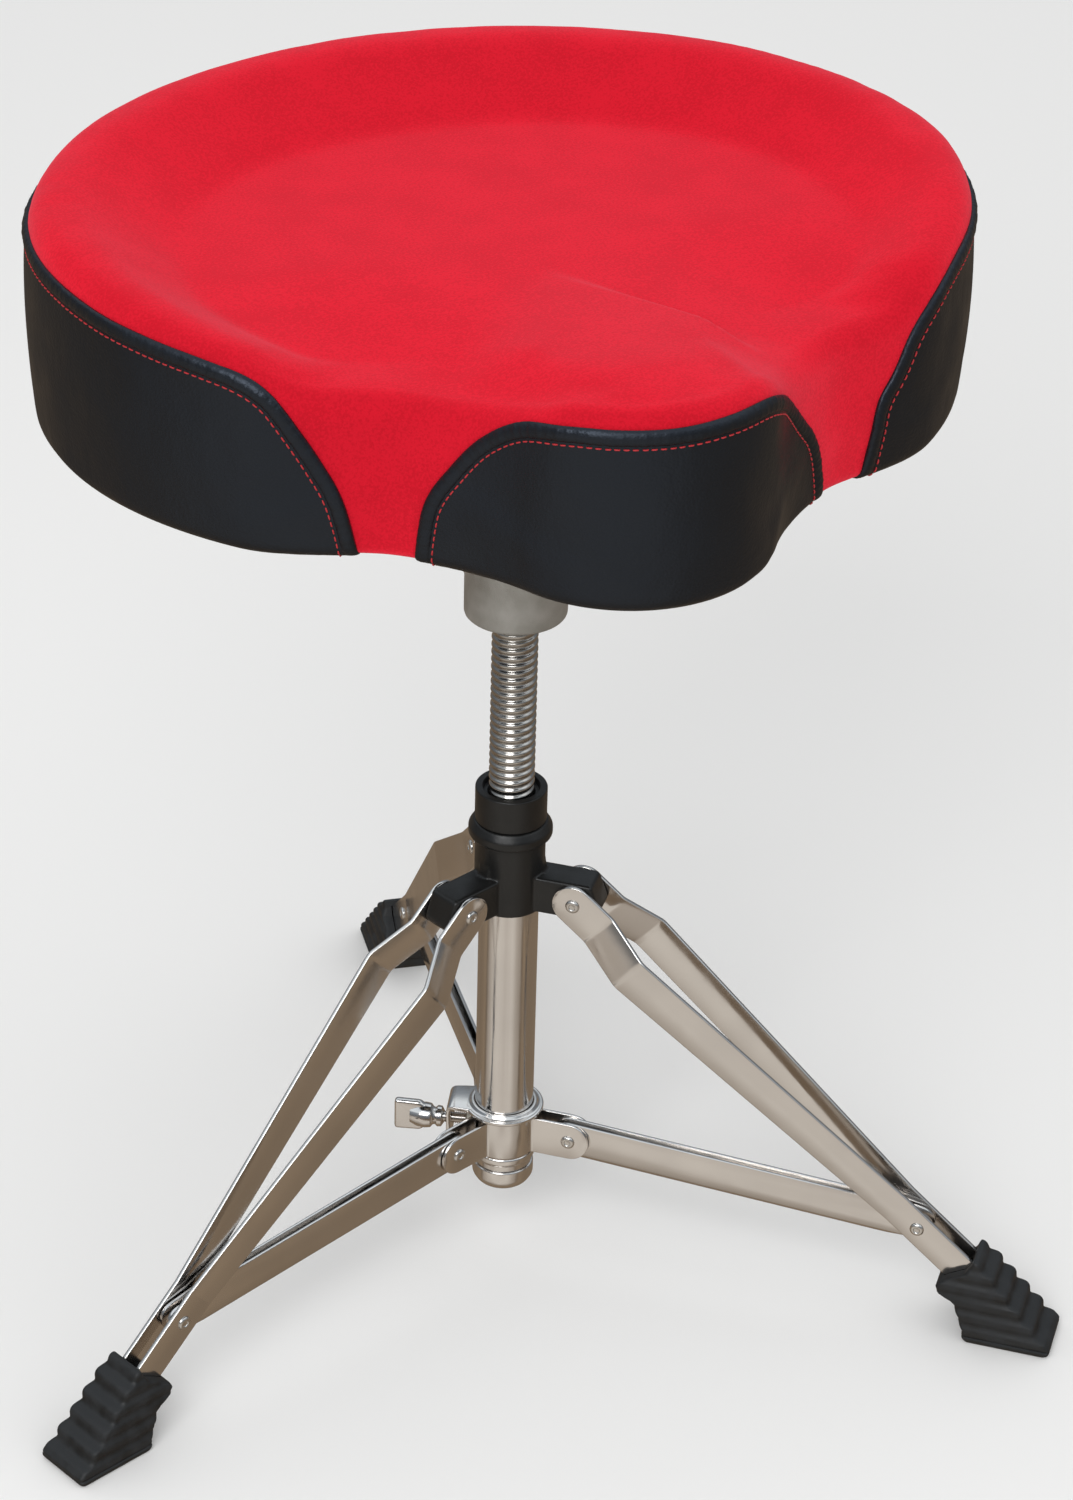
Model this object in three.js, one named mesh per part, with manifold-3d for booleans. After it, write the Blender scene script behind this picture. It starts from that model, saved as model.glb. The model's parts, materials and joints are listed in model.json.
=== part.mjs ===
// Drum throne: a saddle seat on a threaded rod, held by a folding tripod with double-strip legs.
// Units are millimetres, +Z is up and z = 0 is the floor. The seat's nose points to -Y.
// Heights are measured from the floor, radii and offsets from the column's axis.
import * as THREE from 'three';
import { mergeVertices } from 'three/addons/utils/BufferGeometryUtils.js';
import Module from 'manifold-3d';

const wasm = await Module();
wasm.setup();

// ---------------------------------------------------------------- driving dimensions
const DEG = Math.PI / 180;
const GAP = 0.3; // clearance between neighbouring pieces

// column tube
const TUBE_R = 14.5;
const TUBE_WALL = 2;
const TUBE_BOTTOM = 46;
const TUBE_TOP = 239;
const BEAD_Z = 52.2; // rolled bead that stops the sliding collar
const CAP_BOTTOM = 33;

// leg hub and height nut
const HUB_R = 17;
const HUB_BOTTOM = 199.5;
const HUB_TOP = 247;
const HUB_RING_R = 20.3;
const HUB_RING_Z = 238.7;
const LUG_HALF = 8.6; // half thickness of the lug that carries a leg
const NUT_R = 17.3;
const NUT_TOP = 264.7;

// leg: pivot on the hub, pivot of the brace, both in the leg's own plane
const LEG_AZIMUTH = { left: -66, right: 54, rear: 174 }; // turned from the nose (-Y) towards +X
const PIVOT_R = 34.8;
const HUB_PIVOT_Z = 209.5;
const BRACE_PIVOT_R = 212.3;
const BRACE_PIVOT_Z = 55.8;
const STRIP_T = 2.2;
const STRIP_TOP_WIDTH = 20.5;
const STRIP_LOW_WIDTH = 16.5;
const STRIP_OFFSET = { hub: 10, knee: 20, brace: 5.2 }; // strip centre, sideways from the leg's plane
const KNEE_START = 17.7; // the strip bends out between these two distances along the leg
const KNEE_END = 41.3;
const STRIP_TAIL = 37; // length beyond the brace pivot, inside the foot
const PIN_R = 2.2; // rivet shank
const RIVET_HEAD_R = 3.5;

// sliding collar and braces
const COLLAR_PIVOT_Z = 65.8;
const EAR_HALF_HEIGHT = 10.2;
const EAR_INNER = 3.5;
const EAR_T = 1.6;
const STRAP_INNER_R = 14.9;
const STRAP_T = 1.6;
const PLATE_Z = 77.8;
const PLATE_T = 2.2;
const PLATE_R = 19.7;
const BRACE_HALF = 3.1;
const BRACE_WIDTH = 19;
const BRACE_END_R = 7.2; // the brace narrows to this at the leg
const SHEET_T = 1.5;

// wing screw on the collar's tab
const WING_AZIMUTH = -116;
const WING_Z = 67;
const TAB_R = 28;
const TAB_WIDTH = 21;
const PAD_R = 4;
const WING_SCREW_R = 3;

// rubber feet
const FOOT_IN_R = 242;
const FOOT_OUT_R = 281.5;
const FOOT_HALF_LOW = 16;
const FOOT_HALF_HIGH = 11.5;
const FOOT_TOP = 42.5;
const FOOT_TOE_Z = 6; // height of the lowest crest
const FOOT_HEEL_R = 245.5; // radius of the highest crest
const FOOT_RIBS = 6;

// threaded rod, its guide and the seat mount
const ROD_R = 11;
const ROD_BOTTOM = 158;
const ROD_TOP = 434;
const GUIDE_LENGTH = 14;
const MOUNT_R = 24.2;
const MOUNT_BOTTOM = 359;
const CLAMP_AZIMUTH = -130;
const CLAMP_Z = 392;
const CLAMP_R = 33;

// seat
const SEAT_BOTTOM = 463;
const SEAT_TOP = 564;
const SEAT_HALF_WIDTH = 216;
const SEAT_HALF_DEPTH = 186;
const SEAT_CENTRE_Y = 24;
const NOSE_Y = -136; // centre of the nose's round tip
const NOSE_R = 65;
const PANEL_T = 2;
const BOARD_T = 12;
const BOARD_INSET = 14;
const SEAT_CURVE = 9; // segments in each curve of the seat's plan
const SCREW_REACH = 48; // the four mounting screws sit at plus and minus this in X and Y
const MOUNT_SCREW_R = 3;

// ---------------------------------------------------------------- finishes
const finish = (color, roughness, metalness) => () =>
  new THREE.MeshStandardMaterial({ color, roughness, metalness });
const chrome = finish(0xc8c0b4, 0.12, 1);
const plated = finish(0xb9b6ae, 0.3, 1);
const blackCasting = finish(0x232321, 0.45, 0.1);
const greyCasting = finish(0x8f8d86, 0.55, 0.8);
const rubber = finish(0x26282a, 0.85, 0);
const nylon = finish(0xe4e0d4, 0.5, 0);
const plywood = finish(0xb78e5c, 0.75, 0);
const velour = finish(0xc8101f, 0.95, 0);
const vinyl = finish(0x1d1e20, 0.5, 0);
const cloth = finish(0x151515, 0.95, 0);

// ---------------------------------------------------------------- solids
// A geometry as a solid whose shared corners are merged and whose faces point out.
function solid(geometry) {
  const bare = geometry.index ? geometry.toNonIndexed() : geometry.clone();
  bare.deleteAttribute('normal');
  bare.deleteAttribute('uv');
  const merged = mergeVertices(bare, 1e-4);
  const at = merged.attributes.position;
  const a = new THREE.Vector3();
  const b = new THREE.Vector3();
  const c = new THREE.Vector3();
  const faces = [];
  let volume = 0;
  for (let i = 0; i < merged.index.count; i += 3) {
    const [p, q, r] = [0, 1, 2].map((k) => merged.index.getX(i + k));
    if (p === q || q === r || r === p) continue;
    faces.push(p, q, r);
    a.fromBufferAttribute(at, p);
    b.fromBufferAttribute(at, q);
    c.fromBufferAttribute(at, r);
    volume += a.dot(b.cross(c));
  }
  if (volume < 0) faces.reverse();
  return new wasm.Manifold(
    new wasm.Mesh({
      numProp: 3,
      vertProperties: new Float32Array(at.array),
      triVerts: new Uint32Array(faces),
    }),
  );
}

function join(...solids) {
  return solids.reduce((all, next) => all.add(next));
}

function cut(body, ...tools) {
  return tools.reduce((left, tool) => left.subtract(tool), body);
}

// A piece: one named mesh with a finish of its own.
function piece(name, body, material) {
  const { vertProperties, triVerts } = body.getMesh();
  const indexed = new THREE.BufferGeometry();
  indexed.setAttribute('position', new THREE.BufferAttribute(vertProperties, 3));
  indexed.setIndex(new THREE.BufferAttribute(triVerts, 1));
  const geometry = indexed.toNonIndexed();
  geometry.computeVertexNormals();
  const mesh = new THREE.Mesh(geometry, material());
  mesh.name = name;
  return mesh;
}

// Turned about Z from a profile of [radius, height] points. A profile off the axis closes on itself.
function turned(profile, segments = 28) {
  const points = profile.map(([r, z]) => new THREE.Vector2(r, z));
  const offAxis = profile[0][0] > 0;
  if (offAxis) points.push(points[0].clone());
  return solid(new THREE.LatheGeometry(points, segments).rotateX(Math.PI / 2));
}

// A rod along Z between two heights.
function rod(radius, low, high, segments = 24) {
  const shape = new THREE.CylinderGeometry(radius, radius, high - low, segments);
  return solid(shape.rotateX(Math.PI / 2).translate(0, 0, (low + high) / 2));
}

// A pin along the sideways axis Y, between two offsets.
function crossPin(radius, from, to, segments = 12) {
  const shape = new THREE.CylinderGeometry(radius, radius, to - from, segments);
  return solid(shape.translate(0, (from + to) / 2, 0));
}

function box(x, y, z, at = [0, 0, 0]) {
  return solid(new THREE.BoxGeometry(x, y, z).translate(...at));
}

// A shape drawn in plan, raised between two heights.
function raised(shape, low, high, curveSegments = 8) {
  const options = { depth: high - low, bevelEnabled: false, curveSegments };
  return solid(new THREE.ExtrudeGeometry(shape, options).translate(0, 0, low));
}

// A shape drawn in side view (x outward, y up), given a thickness between two sideways offsets.
function sideways(shape, from, to, curveSegments = 5) {
  const options = { depth: to - from, bevelEnabled: false, curveSegments };
  const geometry = new THREE.ExtrudeGeometry(shape, options);
  return solid(geometry.rotateX(Math.PI / 2).translate(0, to, 0));
}

function polygon(points) {
  return new THREE.Shape(points.map(([x, y]) => new THREE.Vector2(x, y)));
}

// A bar with round ends between two points of a side view.
function stadium(x0, x1, y, radius) {
  const shape = new THREE.Shape();
  shape.absarc(x0, y, radius, Math.PI / 2, Math.PI * 1.5, false);
  shape.absarc(x1, y, radius, -Math.PI / 2, Math.PI / 2, false);
  shape.closePath();
  return shape;
}

// A centre line with its corners rounded, thickened to both sides.
function bentStrip(corners, radius, thickness) {
  const path = new THREE.Path();
  const at = corners.map(([x, y]) => new THREE.Vector2(x, y));
  path.moveTo(at[0].x, at[0].y);
  for (let i = 1; i < at.length - 1; i += 1) {
    const before = at[i].clone().add(at[i - 1].clone().sub(at[i]).setLength(radius));
    const after = at[i].clone().add(at[i + 1].clone().sub(at[i]).setLength(radius));
    path.lineTo(before.x, before.y);
    path.quadraticCurveTo(at[i].x, at[i].y, after.x, after.y);
  }
  const last = at[at.length - 1];
  path.lineTo(last.x, last.y);
  const line = path.getPoints(4);
  const side = (sign) =>
    line.map((p, i) => {
      const a = line[Math.max(i - 1, 0)];
      const b = line[Math.min(i + 1, line.length - 1)];
      const run = b.clone().sub(a).normalize();
      return new THREE.Vector2(p.x - run.y * sign, p.y + run.x * sign);
    });
  const half = thickness / 2;
  return new THREE.Shape([...side(half), ...side(-half).reverse()]);
}

// A group whose +X points away from the column at the given azimuth.
function bearing(azimuth) {
  const group = new THREE.Group();
  group.rotation.z = (azimuth - 90) * DEG;
  return group;
}

// ---------------------------------------------------------------- column
function baseTube() {
  const inner = TUBE_R - TUBE_WALL;
  return turned([
    [TUBE_R, TUBE_BOTTOM],
    [TUBE_R, BEAD_Z - 2.4],
    [TUBE_R + 1.5, BEAD_Z - 1.2],
    [TUBE_R + 1.5, BEAD_Z + 1.2],
    [TUBE_R, BEAD_Z + 2.4],
    [TUBE_R, TUBE_TOP],
    [inner, TUBE_TOP],
    [inner, TUBE_BOTTOM],
  ]);
}

function tubeEndCap() {
  const head = TUBE_R + 0.8;
  const plug = TUBE_R - TUBE_WALL - GAP;
  return turned([
    [0, CAP_BOTTOM],
    [head * 0.55, CAP_BOTTOM],
    [head * 0.86, CAP_BOTTOM + 1.8],
    [head, CAP_BOTTOM + 5.5],
    [head, TUBE_BOTTOM - 1.2],
    [head - 0.9, TUBE_BOTTOM - GAP],
    [plug, TUBE_BOTTOM - GAP],
    [plug, TUBE_BOTTOM + 5],
    [plug - 1, TUBE_BOTTOM + 6],
    [0, TUBE_BOTTOM + 6],
  ]);
}

// The black casting on top of the tube: barrel, ring, three lugs and a web over each lug.
function legHub() {
  const bore = TUBE_R + GAP;
  const barrel = turned([
    [bore, HUB_BOTTOM],
    [HUB_R - 0.7, HUB_BOTTOM],
    [HUB_R, HUB_BOTTOM + 0.7],
    [HUB_R, HUB_RING_Z],
    [HUB_RING_R, HUB_RING_Z + 0.6],
    [HUB_RING_R, HUB_RING_Z + 4],
    [HUB_RING_R - 0.8, HUB_TOP - 1.6],
    [HUB_RING_R - 2.6, HUB_TOP],
    [bore, HUB_TOP],
  ]);
  const lugTop = 10.5; // above the pivot
  const lugBottom = -8.8;
  const lug = new THREE.Shape();
  lug.moveTo(bore - PIVOT_R, lugTop);
  lug.lineTo(5.6, lugTop);
  lug.quadraticCurveTo(7.6, lugTop - 0.5, 8.8, lugTop - 2.9);
  lug.lineTo(12.6, -2.6);
  lug.quadraticCurveTo(13, -7, 8.4, lugBottom);
  lug.lineTo(bore - PIVOT_R, lugBottom);
  lug.closePath();
  const pinHole = crossPin(PIN_R + GAP, -LUG_HALF - 1, LUG_HALF + 1);
  const arm = cut(sideways(lug, -LUG_HALF, LUG_HALF, 3), pinHole);
  const webBottom = HUB_PIVOT_Z + 5;
  const webHeight = HUB_RING_Z - webBottom;
  const web = box(6, 7, webHeight, [HUB_R, 0, webBottom + webHeight / 2]);
  const arms = Object.values(LEG_AZIMUTH).map((azimuth) =>
    join(arm.translate([PIVOT_R, 0, HUB_PIVOT_Z]), web).rotate([0, 0, azimuth - 90]),
  );
  return cut(join(barrel, ...arms), rod(bore, HUB_BOTTOM - 1, HUB_TOP + 1, 28));
}

// The threaded insert that the rod screws through. Its bore clears the rod's crests.
function heightNut() {
  const bore = ROD_R + GAP;
  return turned([
    [bore, TUBE_TOP + GAP],
    [TUBE_R, TUBE_TOP + GAP],
    [TUBE_R, HUB_TOP + GAP],
    [NUT_R, HUB_TOP + GAP],
    [NUT_R, NUT_TOP - 1.2],
    [NUT_R - 1.2, NUT_TOP],
    [NUT_R - 3.6, NUT_TOP],
    [NUT_R - 4, NUT_TOP - 3],
    [bore, NUT_TOP - 3],
  ]);
}

// ---------------------------------------------------------------- legs
const LEG_LENGTH = Math.hypot(BRACE_PIVOT_R - PIVOT_R, HUB_PIVOT_Z - BRACE_PIVOT_Z);
const LEG_SLOPE = Math.atan2(HUB_PIVOT_Z - BRACE_PIVOT_Z, BRACE_PIVOT_R - PIVOT_R);

// One flat strip of a leg, along +X from the hub pivot. sign picks the side of the leg's plane.
function legStrip(sign) {
  const end = LEG_LENGTH + STRIP_TAIL;
  const edgeView = bentStrip(
    [
      [-STRIP_TOP_WIDTH / 2, sign * STRIP_OFFSET.hub],
      [KNEE_START, sign * STRIP_OFFSET.hub],
      [KNEE_END, sign * STRIP_OFFSET.knee],
      [LEG_LENGTH - 14, sign * STRIP_OFFSET.brace],
      [end, sign * STRIP_OFFSET.brace],
    ],
    5,
    STRIP_T,
  );
  const top = STRIP_TOP_WIDTH / 2;
  const low = STRIP_LOW_WIDTH / 2;
  const face = new THREE.Shape();
  face.absarc(0, 0, top, Math.PI / 2, Math.PI * 1.5, false);
  face.lineTo(KNEE_END, -top);
  face.lineTo(LEG_LENGTH, -low);
  face.lineTo(end, -low);
  face.lineTo(end, low);
  face.lineTo(LEG_LENGTH, low);
  face.lineTo(KNEE_END, top);
  face.closePath();
  const body = raised(edgeView, -top - 1, top + 1).intersect(sideways(face, -30, 30, 5));
  const hole = crossPin(PIN_R + GAP, -30, 30);
  return cut(body, hole, hole.translate([LEG_LENGTH, 0, 0]));
}

// The profile of a rivet's domed head from its seat at the given offset, ending on the axis.
function rivetHead(seat) {
  return [
    [PIN_R, seat],
    [RIVET_HEAD_R, seat],
    [RIVET_HEAD_R, seat + 0.5],
    [RIVET_HEAD_R * 0.65, seat + 1.3],
    [0, seat + 1.5],
  ];
}

// A shank between two domed heads whose inner faces are at plus and minus reach.
function domedRivet(reach) {
  const head = rivetHead(reach);
  const other = head.map(([r, y]) => [r, -y]).reverse();
  return turned([...other, ...head], 12).rotate([90, 0, 0]);
}

// The rivet across the leg at the hub, through both strips and the lug.
function hubRivet() {
  return domedRivet(STRIP_OFFSET.hub + STRIP_T / 2 + GAP);
}

// Half of the brace rivet: a domed head and a shank that stays inside one strip, so that the brace's
// end swings free between the strips.
function braceRivet(sign) {
  const inner = STRIP_OFFSET.brace - STRIP_T / 2;
  const outer = STRIP_OFFSET.brace + STRIP_T / 2 + GAP;
  const half = turned([[0, inner], [PIN_R, inner], ...rivetHead(outer)], 12);
  return half.rotate([-90 * sign, 0, 0]);
}

// The side view of a foot: crests up the outer face, the slanted mouth, and the stepped inner face.
function footSide() {
  const side = new THREE.Shape();
  side.moveTo(FOOT_IN_R, 0);
  side.lineTo(FOOT_OUT_R - 1.5, 0);
  const low = new THREE.Vector2(FOOT_OUT_R, FOOT_TOE_Z);
  const high = new THREE.Vector2(FOOT_HEEL_R, FOOT_TOP);
  for (let i = 0; i < FOOT_RIBS; i += 1) {
    const crest = low.clone().lerp(high, i / (FOOT_RIBS - 1));
    side.lineTo(crest.x, crest.y - 2.4);
    side.lineTo(crest.x - 0.8, crest.y + 1);
    side.lineTo(crest.x - 4, crest.y + 2.6);
  }
  side.lineTo(FOOT_IN_R - 4, FOOT_TOP - 4.5);
  side.lineTo(FOOT_IN_R - 16.5, FOOT_TOP - 12);
  side.lineTo(FOOT_IN_R - 17, FOOT_TOP - 18);
  side.lineTo(FOOT_IN_R - 8.5, 20.5);
  side.lineTo(FOOT_IN_R - 6.5, 19);
  side.lineTo(FOOT_IN_R - 6.4, 14.4);
  side.lineTo(FOOT_IN_R - 4, 12);
  side.lineTo(FOOT_IN_R - 3.8, 7.4);
  side.lineTo(FOOT_IN_R - 2, 5);
  side.closePath();
  return side;
}

// A ribbed rubber foot in the leg's plane: x outward, z up. It has a socket for the two strips and,
// between them, a relief that lets the brace's end swing by.
function foot() {
  const options = { depth: 2, bevelEnabled: false, steps: 1 };
  const block = new THREE.ExtrudeGeometry(footSide(), options);
  block.rotateX(Math.PI / 2).translate(0, 1, 0);
  const at = block.attributes.position;
  for (let i = 0; i < at.count; i += 1) {
    const rise = Math.min(at.getZ(i) / FOOT_TOP, 1);
    at.setY(i, at.getY(i) * (FOOT_HALF_LOW + (FOOT_HALF_HIGH - FOOT_HALF_LOW) * rise));
  }
  const pocketHalf = STRIP_OFFSET.brace + STRIP_T / 2 + GAP;
  const depth = STRIP_TAIL + GAP;
  const pocket = box(depth, 2 * pocketHalf, STRIP_LOW_WIDTH + 2 * GAP, [depth / 2, 0, 0]);
  const reliefDepth = 30.5;
  const reliefHeight = 22.5;
  const relief = box(reliefDepth, 2 * (BRACE_HALF + GAP), reliefHeight, [
    reliefDepth / 2,
    0,
    reliefHeight / 2,
  ]);
  const socket = join(pocket, relief)
    .rotate([0, LEG_SLOPE / DEG, 0])
    .translate([BRACE_PIVOT_R, 0, BRACE_PIVOT_Z]);
  return cut(solid(block), socket);
}

function leg(name) {
  const group = bearing(LEG_AZIMUTH[name]);
  const slope = new THREE.Group();
  slope.position.set(PIVOT_R, 0, HUB_PIVOT_Z);
  slope.rotation.y = LEG_SLOPE;
  slope.add(piece(`${name}_leg_strip_a`, legStrip(1), chrome));
  slope.add(piece(`${name}_leg_strip_b`, legStrip(-1), chrome));
  slope.add(piece(`${name}_hub_rivet`, hubRivet(), plated));
  for (const [letter, sign] of [['a', 1], ['b', -1]]) {
    const rivet = piece(`${name}_brace_rivet_${letter}`, braceRivet(sign), plated);
    rivet.position.x = LEG_LENGTH;
    slope.add(rivet);
  }
  group.add(slope, piece(`${name}_foot`, foot(), rubber));
  return group;
}

// ---------------------------------------------------------------- braces
const BRACE_LENGTH = Math.hypot(BRACE_PIVOT_R - PIVOT_R, COLLAR_PIVOT_Z - BRACE_PIVOT_Z);
const BRACE_SLOPE = Math.atan2(COLLAR_PIVOT_Z - BRACE_PIVOT_Z, BRACE_PIVOT_R - PIVOT_R);

// A folded channel, open at the top, between the collar's ears and the leg's strips.
function braceChannel() {
  const half = BRACE_WIDTH / 2;
  const narrowing = BRACE_LENGTH - 22;
  const side = new THREE.Shape();
  side.absarc(0, 0, half, Math.PI / 2, Math.PI * 1.5, false);
  side.lineTo(narrowing, -half);
  side.absarc(BRACE_LENGTH, 0, BRACE_END_R, -Math.PI / 2, Math.PI / 2, false);
  side.lineTo(narrowing, half);
  side.closePath();
  const body = sideways(side, -BRACE_HALF, BRACE_HALF);
  const inside = box(BRACE_LENGTH + 4 * half, 2 * (BRACE_HALF - SHEET_T), BRACE_WIDTH, [
    BRACE_LENGTH / 2,
    0,
    SHEET_T,
  ]);
  const hole = crossPin(PIN_R + GAP, -BRACE_HALF - 1, BRACE_HALF + 1);
  return cut(body, inside, hole, hole.translate([BRACE_LENGTH, 0, 0]));
}

function brace(name) {
  const group = bearing(LEG_AZIMUTH[name]);
  const channel = piece(`${name}_brace`, braceChannel(), chrome);
  channel.position.set(PIVOT_R, 0, COLLAR_PIVOT_Z);
  channel.rotation.y = BRACE_SLOPE;
  group.add(channel);
  return group;
}

// ---------------------------------------------------------------- collar
// A strap that runs a third of the way round the tube and ends in an ear at each of two legs. The
// strap that crosses the wing screw has a hole for it.
function collarStrap(name) {
  const span = 120;
  const wingTurn = (WING_AZIMUTH - LEG_AZIMUTH[name] + 360) % 360;
  const outer = STRAP_INNER_R + STRAP_T;
  const inset = Math.asin((EAR_INNER + EAR_T / 2) / outer) / DEG;
  const ring = new THREE.Shape();
  ring.absarc(0, 0, outer, inset * DEG, (span - inset) * DEG, false);
  ring.absarc(0, 0, STRAP_INNER_R, (span - inset) * DEG, inset * DEG, true);
  ring.closePath();
  const arc = raised(ring, -EAR_HALF_HEIGHT, EAR_HALF_HEIGHT, 5);
  const root = Math.sqrt(STRAP_INNER_R ** 2 - EAR_INNER ** 2) + 0.1;
  const plate = new THREE.Shape();
  plate.absarc(PIVOT_R, 0, EAR_HALF_HEIGHT, -Math.PI / 2, Math.PI / 2, false);
  plate.lineTo(root, EAR_HALF_HEIGHT);
  plate.lineTo(root, -EAR_HALF_HEIGHT);
  plate.closePath();
  const hole = crossPin(PIN_R + GAP, -20, 20).translate([PIVOT_R, 0, 0]);
  const near = cut(sideways(plate, EAR_INNER, EAR_INNER + EAR_T), hole);
  const far = cut(sideways(plate, -EAR_INNER - EAR_T, -EAR_INNER), hole).rotate([0, 0, span]);
  const strap = join(arc, near, far);
  if (wingTurn > span) return strap;
  const wingHole = rod(PAD_R + GAP, 0, 30, 16).rotate([0, 90, wingTurn]);
  return cut(strap, wingHole.translate([0, 0, WING_Z - COLLAR_PIVOT_Z]));
}

// The plate over the straps: a dished ring, and a tab folded down for the wing screw.
function collarPlate() {
  const top = PLATE_Z + PLATE_T;
  const ring = turned([
    [STRAP_INNER_R, PLATE_Z],
    [PLATE_R, PLATE_Z],
    [PLATE_R, top],
    [STRAP_INNER_R + 1.8, top],
    [STRAP_INNER_R + 0.6, top + 1.6],
    [STRAP_INNER_R, top + 1.6],
  ]);
  const root = 12; // the shelf starts inside the ring, and the bore trims it
  const shelfAt = [(TAB_R + root) / 2, 0, PLATE_Z + PLATE_T / 2];
  const shelf = box(TAB_R - root, TAB_WIDTH, PLATE_T, shelfAt);
  const low = WING_Z - 8.5;
  const high = PLATE_Z + 0.5;
  const flangeAt = [TAB_R - PLATE_T / 2, 0, (low + high) / 2];
  const flange = box(PLATE_T, TAB_WIDTH - 4, high - low, flangeAt);
  const bore = rod(STRAP_INNER_R, PLATE_Z - 20, top + 5);
  const screwHole = rod(WING_SCREW_R + GAP, TAB_R - 5, TAB_R + 5, 16).rotate([0, 90, 0]);
  const tab = join(shelf, cut(flange, screwHole.translate([0, 0, WING_Z])));
  const turnedTab = tab.rotate([0, 0, WING_AZIMUTH - 90]);
  return cut(join(ring, turnedTab), bore);
}

// The screw points along +X, away from the tube: a shank, a hub and a pair of wings.
function wingScrew() {
  const shank = turned([
    [0, 18.5],
    [WING_SCREW_R, 18.5],
    [WING_SCREW_R, 30.6],
    [5.4, 31.4],
    [5.4, 33.4],
    [4.4, 34.4],
    [6, 36],
    [6.4, 40],
    [5, 46],
    [0, 47],
  ], 20);
  const wing = new THREE.Shape();
  wing.moveTo(36.5, -4);
  wing.quadraticCurveTo(41, -8.4, 45, -8.6);
  wing.lineTo(54.4, -8);
  wing.lineTo(55, 0);
  wing.lineTo(54.4, 8);
  wing.lineTo(45, 8.6);
  wing.quadraticCurveTo(41, 8.4, 36.5, 4);
  wing.closePath();
  return join(shank.rotate([0, 90, 0]), sideways(wing, -2.1, 2.1, 4));
}

function wingPad() {
  return rod(PAD_R, TUBE_R + GAP, 18.2, 16).rotate([0, 90, 0]);
}

function collar() {
  const group = new THREE.Group();
  const names = Object.keys(LEG_AZIMUTH);
  names.forEach((name) => {
    const third = bearing(LEG_AZIMUTH[name]);
    third.position.z = COLLAR_PIVOT_Z;
    third.add(piece(`${name}_collar_strap`, collarStrap(name), chrome));
    third.add(
      piece(
        `${name}_collar_rivet`,
        domedRivet(EAR_INNER + EAR_T + GAP).translate([PIVOT_R, 0, 0]),
        plated,
      ),
    );
    group.add(third);
  });
  group.add(piece('collar_plate', collarPlate(), chrome));
  const wing = bearing(WING_AZIMUTH);
  wing.position.z = WING_Z;
  wing.add(piece('wing_screw', wingScrew(), chrome), piece('wing_screw_pad', wingPad(), nylon));
  group.add(wing);
  return group;
}

// ---------------------------------------------------------------- rod and its guide
const SCREW_R = 2.5;
const SPIGOT_R = 6;

// Plain at crest radius. The lower end is turned down for the guide and drilled for its screw.
function threadedRod() {
  const shoulder = ROD_BOTTOM + GUIDE_LENGTH;
  const drilled = ROD_BOTTOM + 25;
  return turned([
    [0, drilled],
    [SCREW_R + GAP, drilled],
    [SCREW_R + GAP, ROD_BOTTOM],
    [SPIGOT_R, ROD_BOTTOM],
    [SPIGOT_R, shoulder],
    [ROD_R - 1, shoulder],
    [ROD_R, shoulder + 1],
    [ROD_R, ROD_TOP - 1],
    [ROD_R - 1, ROD_TOP],
    [0, ROD_TOP],
  ], 24);
}

function rodGuide() {
  const outer = TUBE_R - TUBE_WALL - GAP;
  const inner = SPIGOT_R + GAP;
  const low = ROD_BOTTOM + GAP;
  const high = ROD_BOTTOM + GUIDE_LENGTH - GAP;
  return turned([
    [inner, low],
    [outer - 1, low],
    [outer, low + 1],
    [outer, high - 1],
    [outer - 1, high],
    [inner, high],
  ], 24);
}

function guideScrew() {
  const head = ROD_BOTTOM - GAP;
  return turned([
    [0, head - 3],
    [6, head - 3],
    [8, head - 1.6],
    [8, head],
    [SCREW_R, head],
    [SCREW_R, ROD_BOTTOM + 22],
    [0, ROD_BOTTOM + 22],
  ], 16);
}

// ---------------------------------------------------------------- seat mount
const MOUNT_PLATE_T = 6;
const CLOTH_T = 0.8;
const MOUNT_TOP = SEAT_BOTTOM + GAP + CLOTH_T;

function roundedSquare(half, corner) {
  const shape = new THREE.Shape();
  const c = half - corner;
  shape.absarc(c, -c, corner, -Math.PI / 2, 0, false);
  shape.absarc(c, c, corner, 0, Math.PI / 2, false);
  shape.absarc(-c, c, corner, Math.PI / 2, Math.PI, false);
  shape.absarc(-c, -c, corner, Math.PI, Math.PI * 1.5, false);
  shape.closePath();
  return shape;
}

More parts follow.
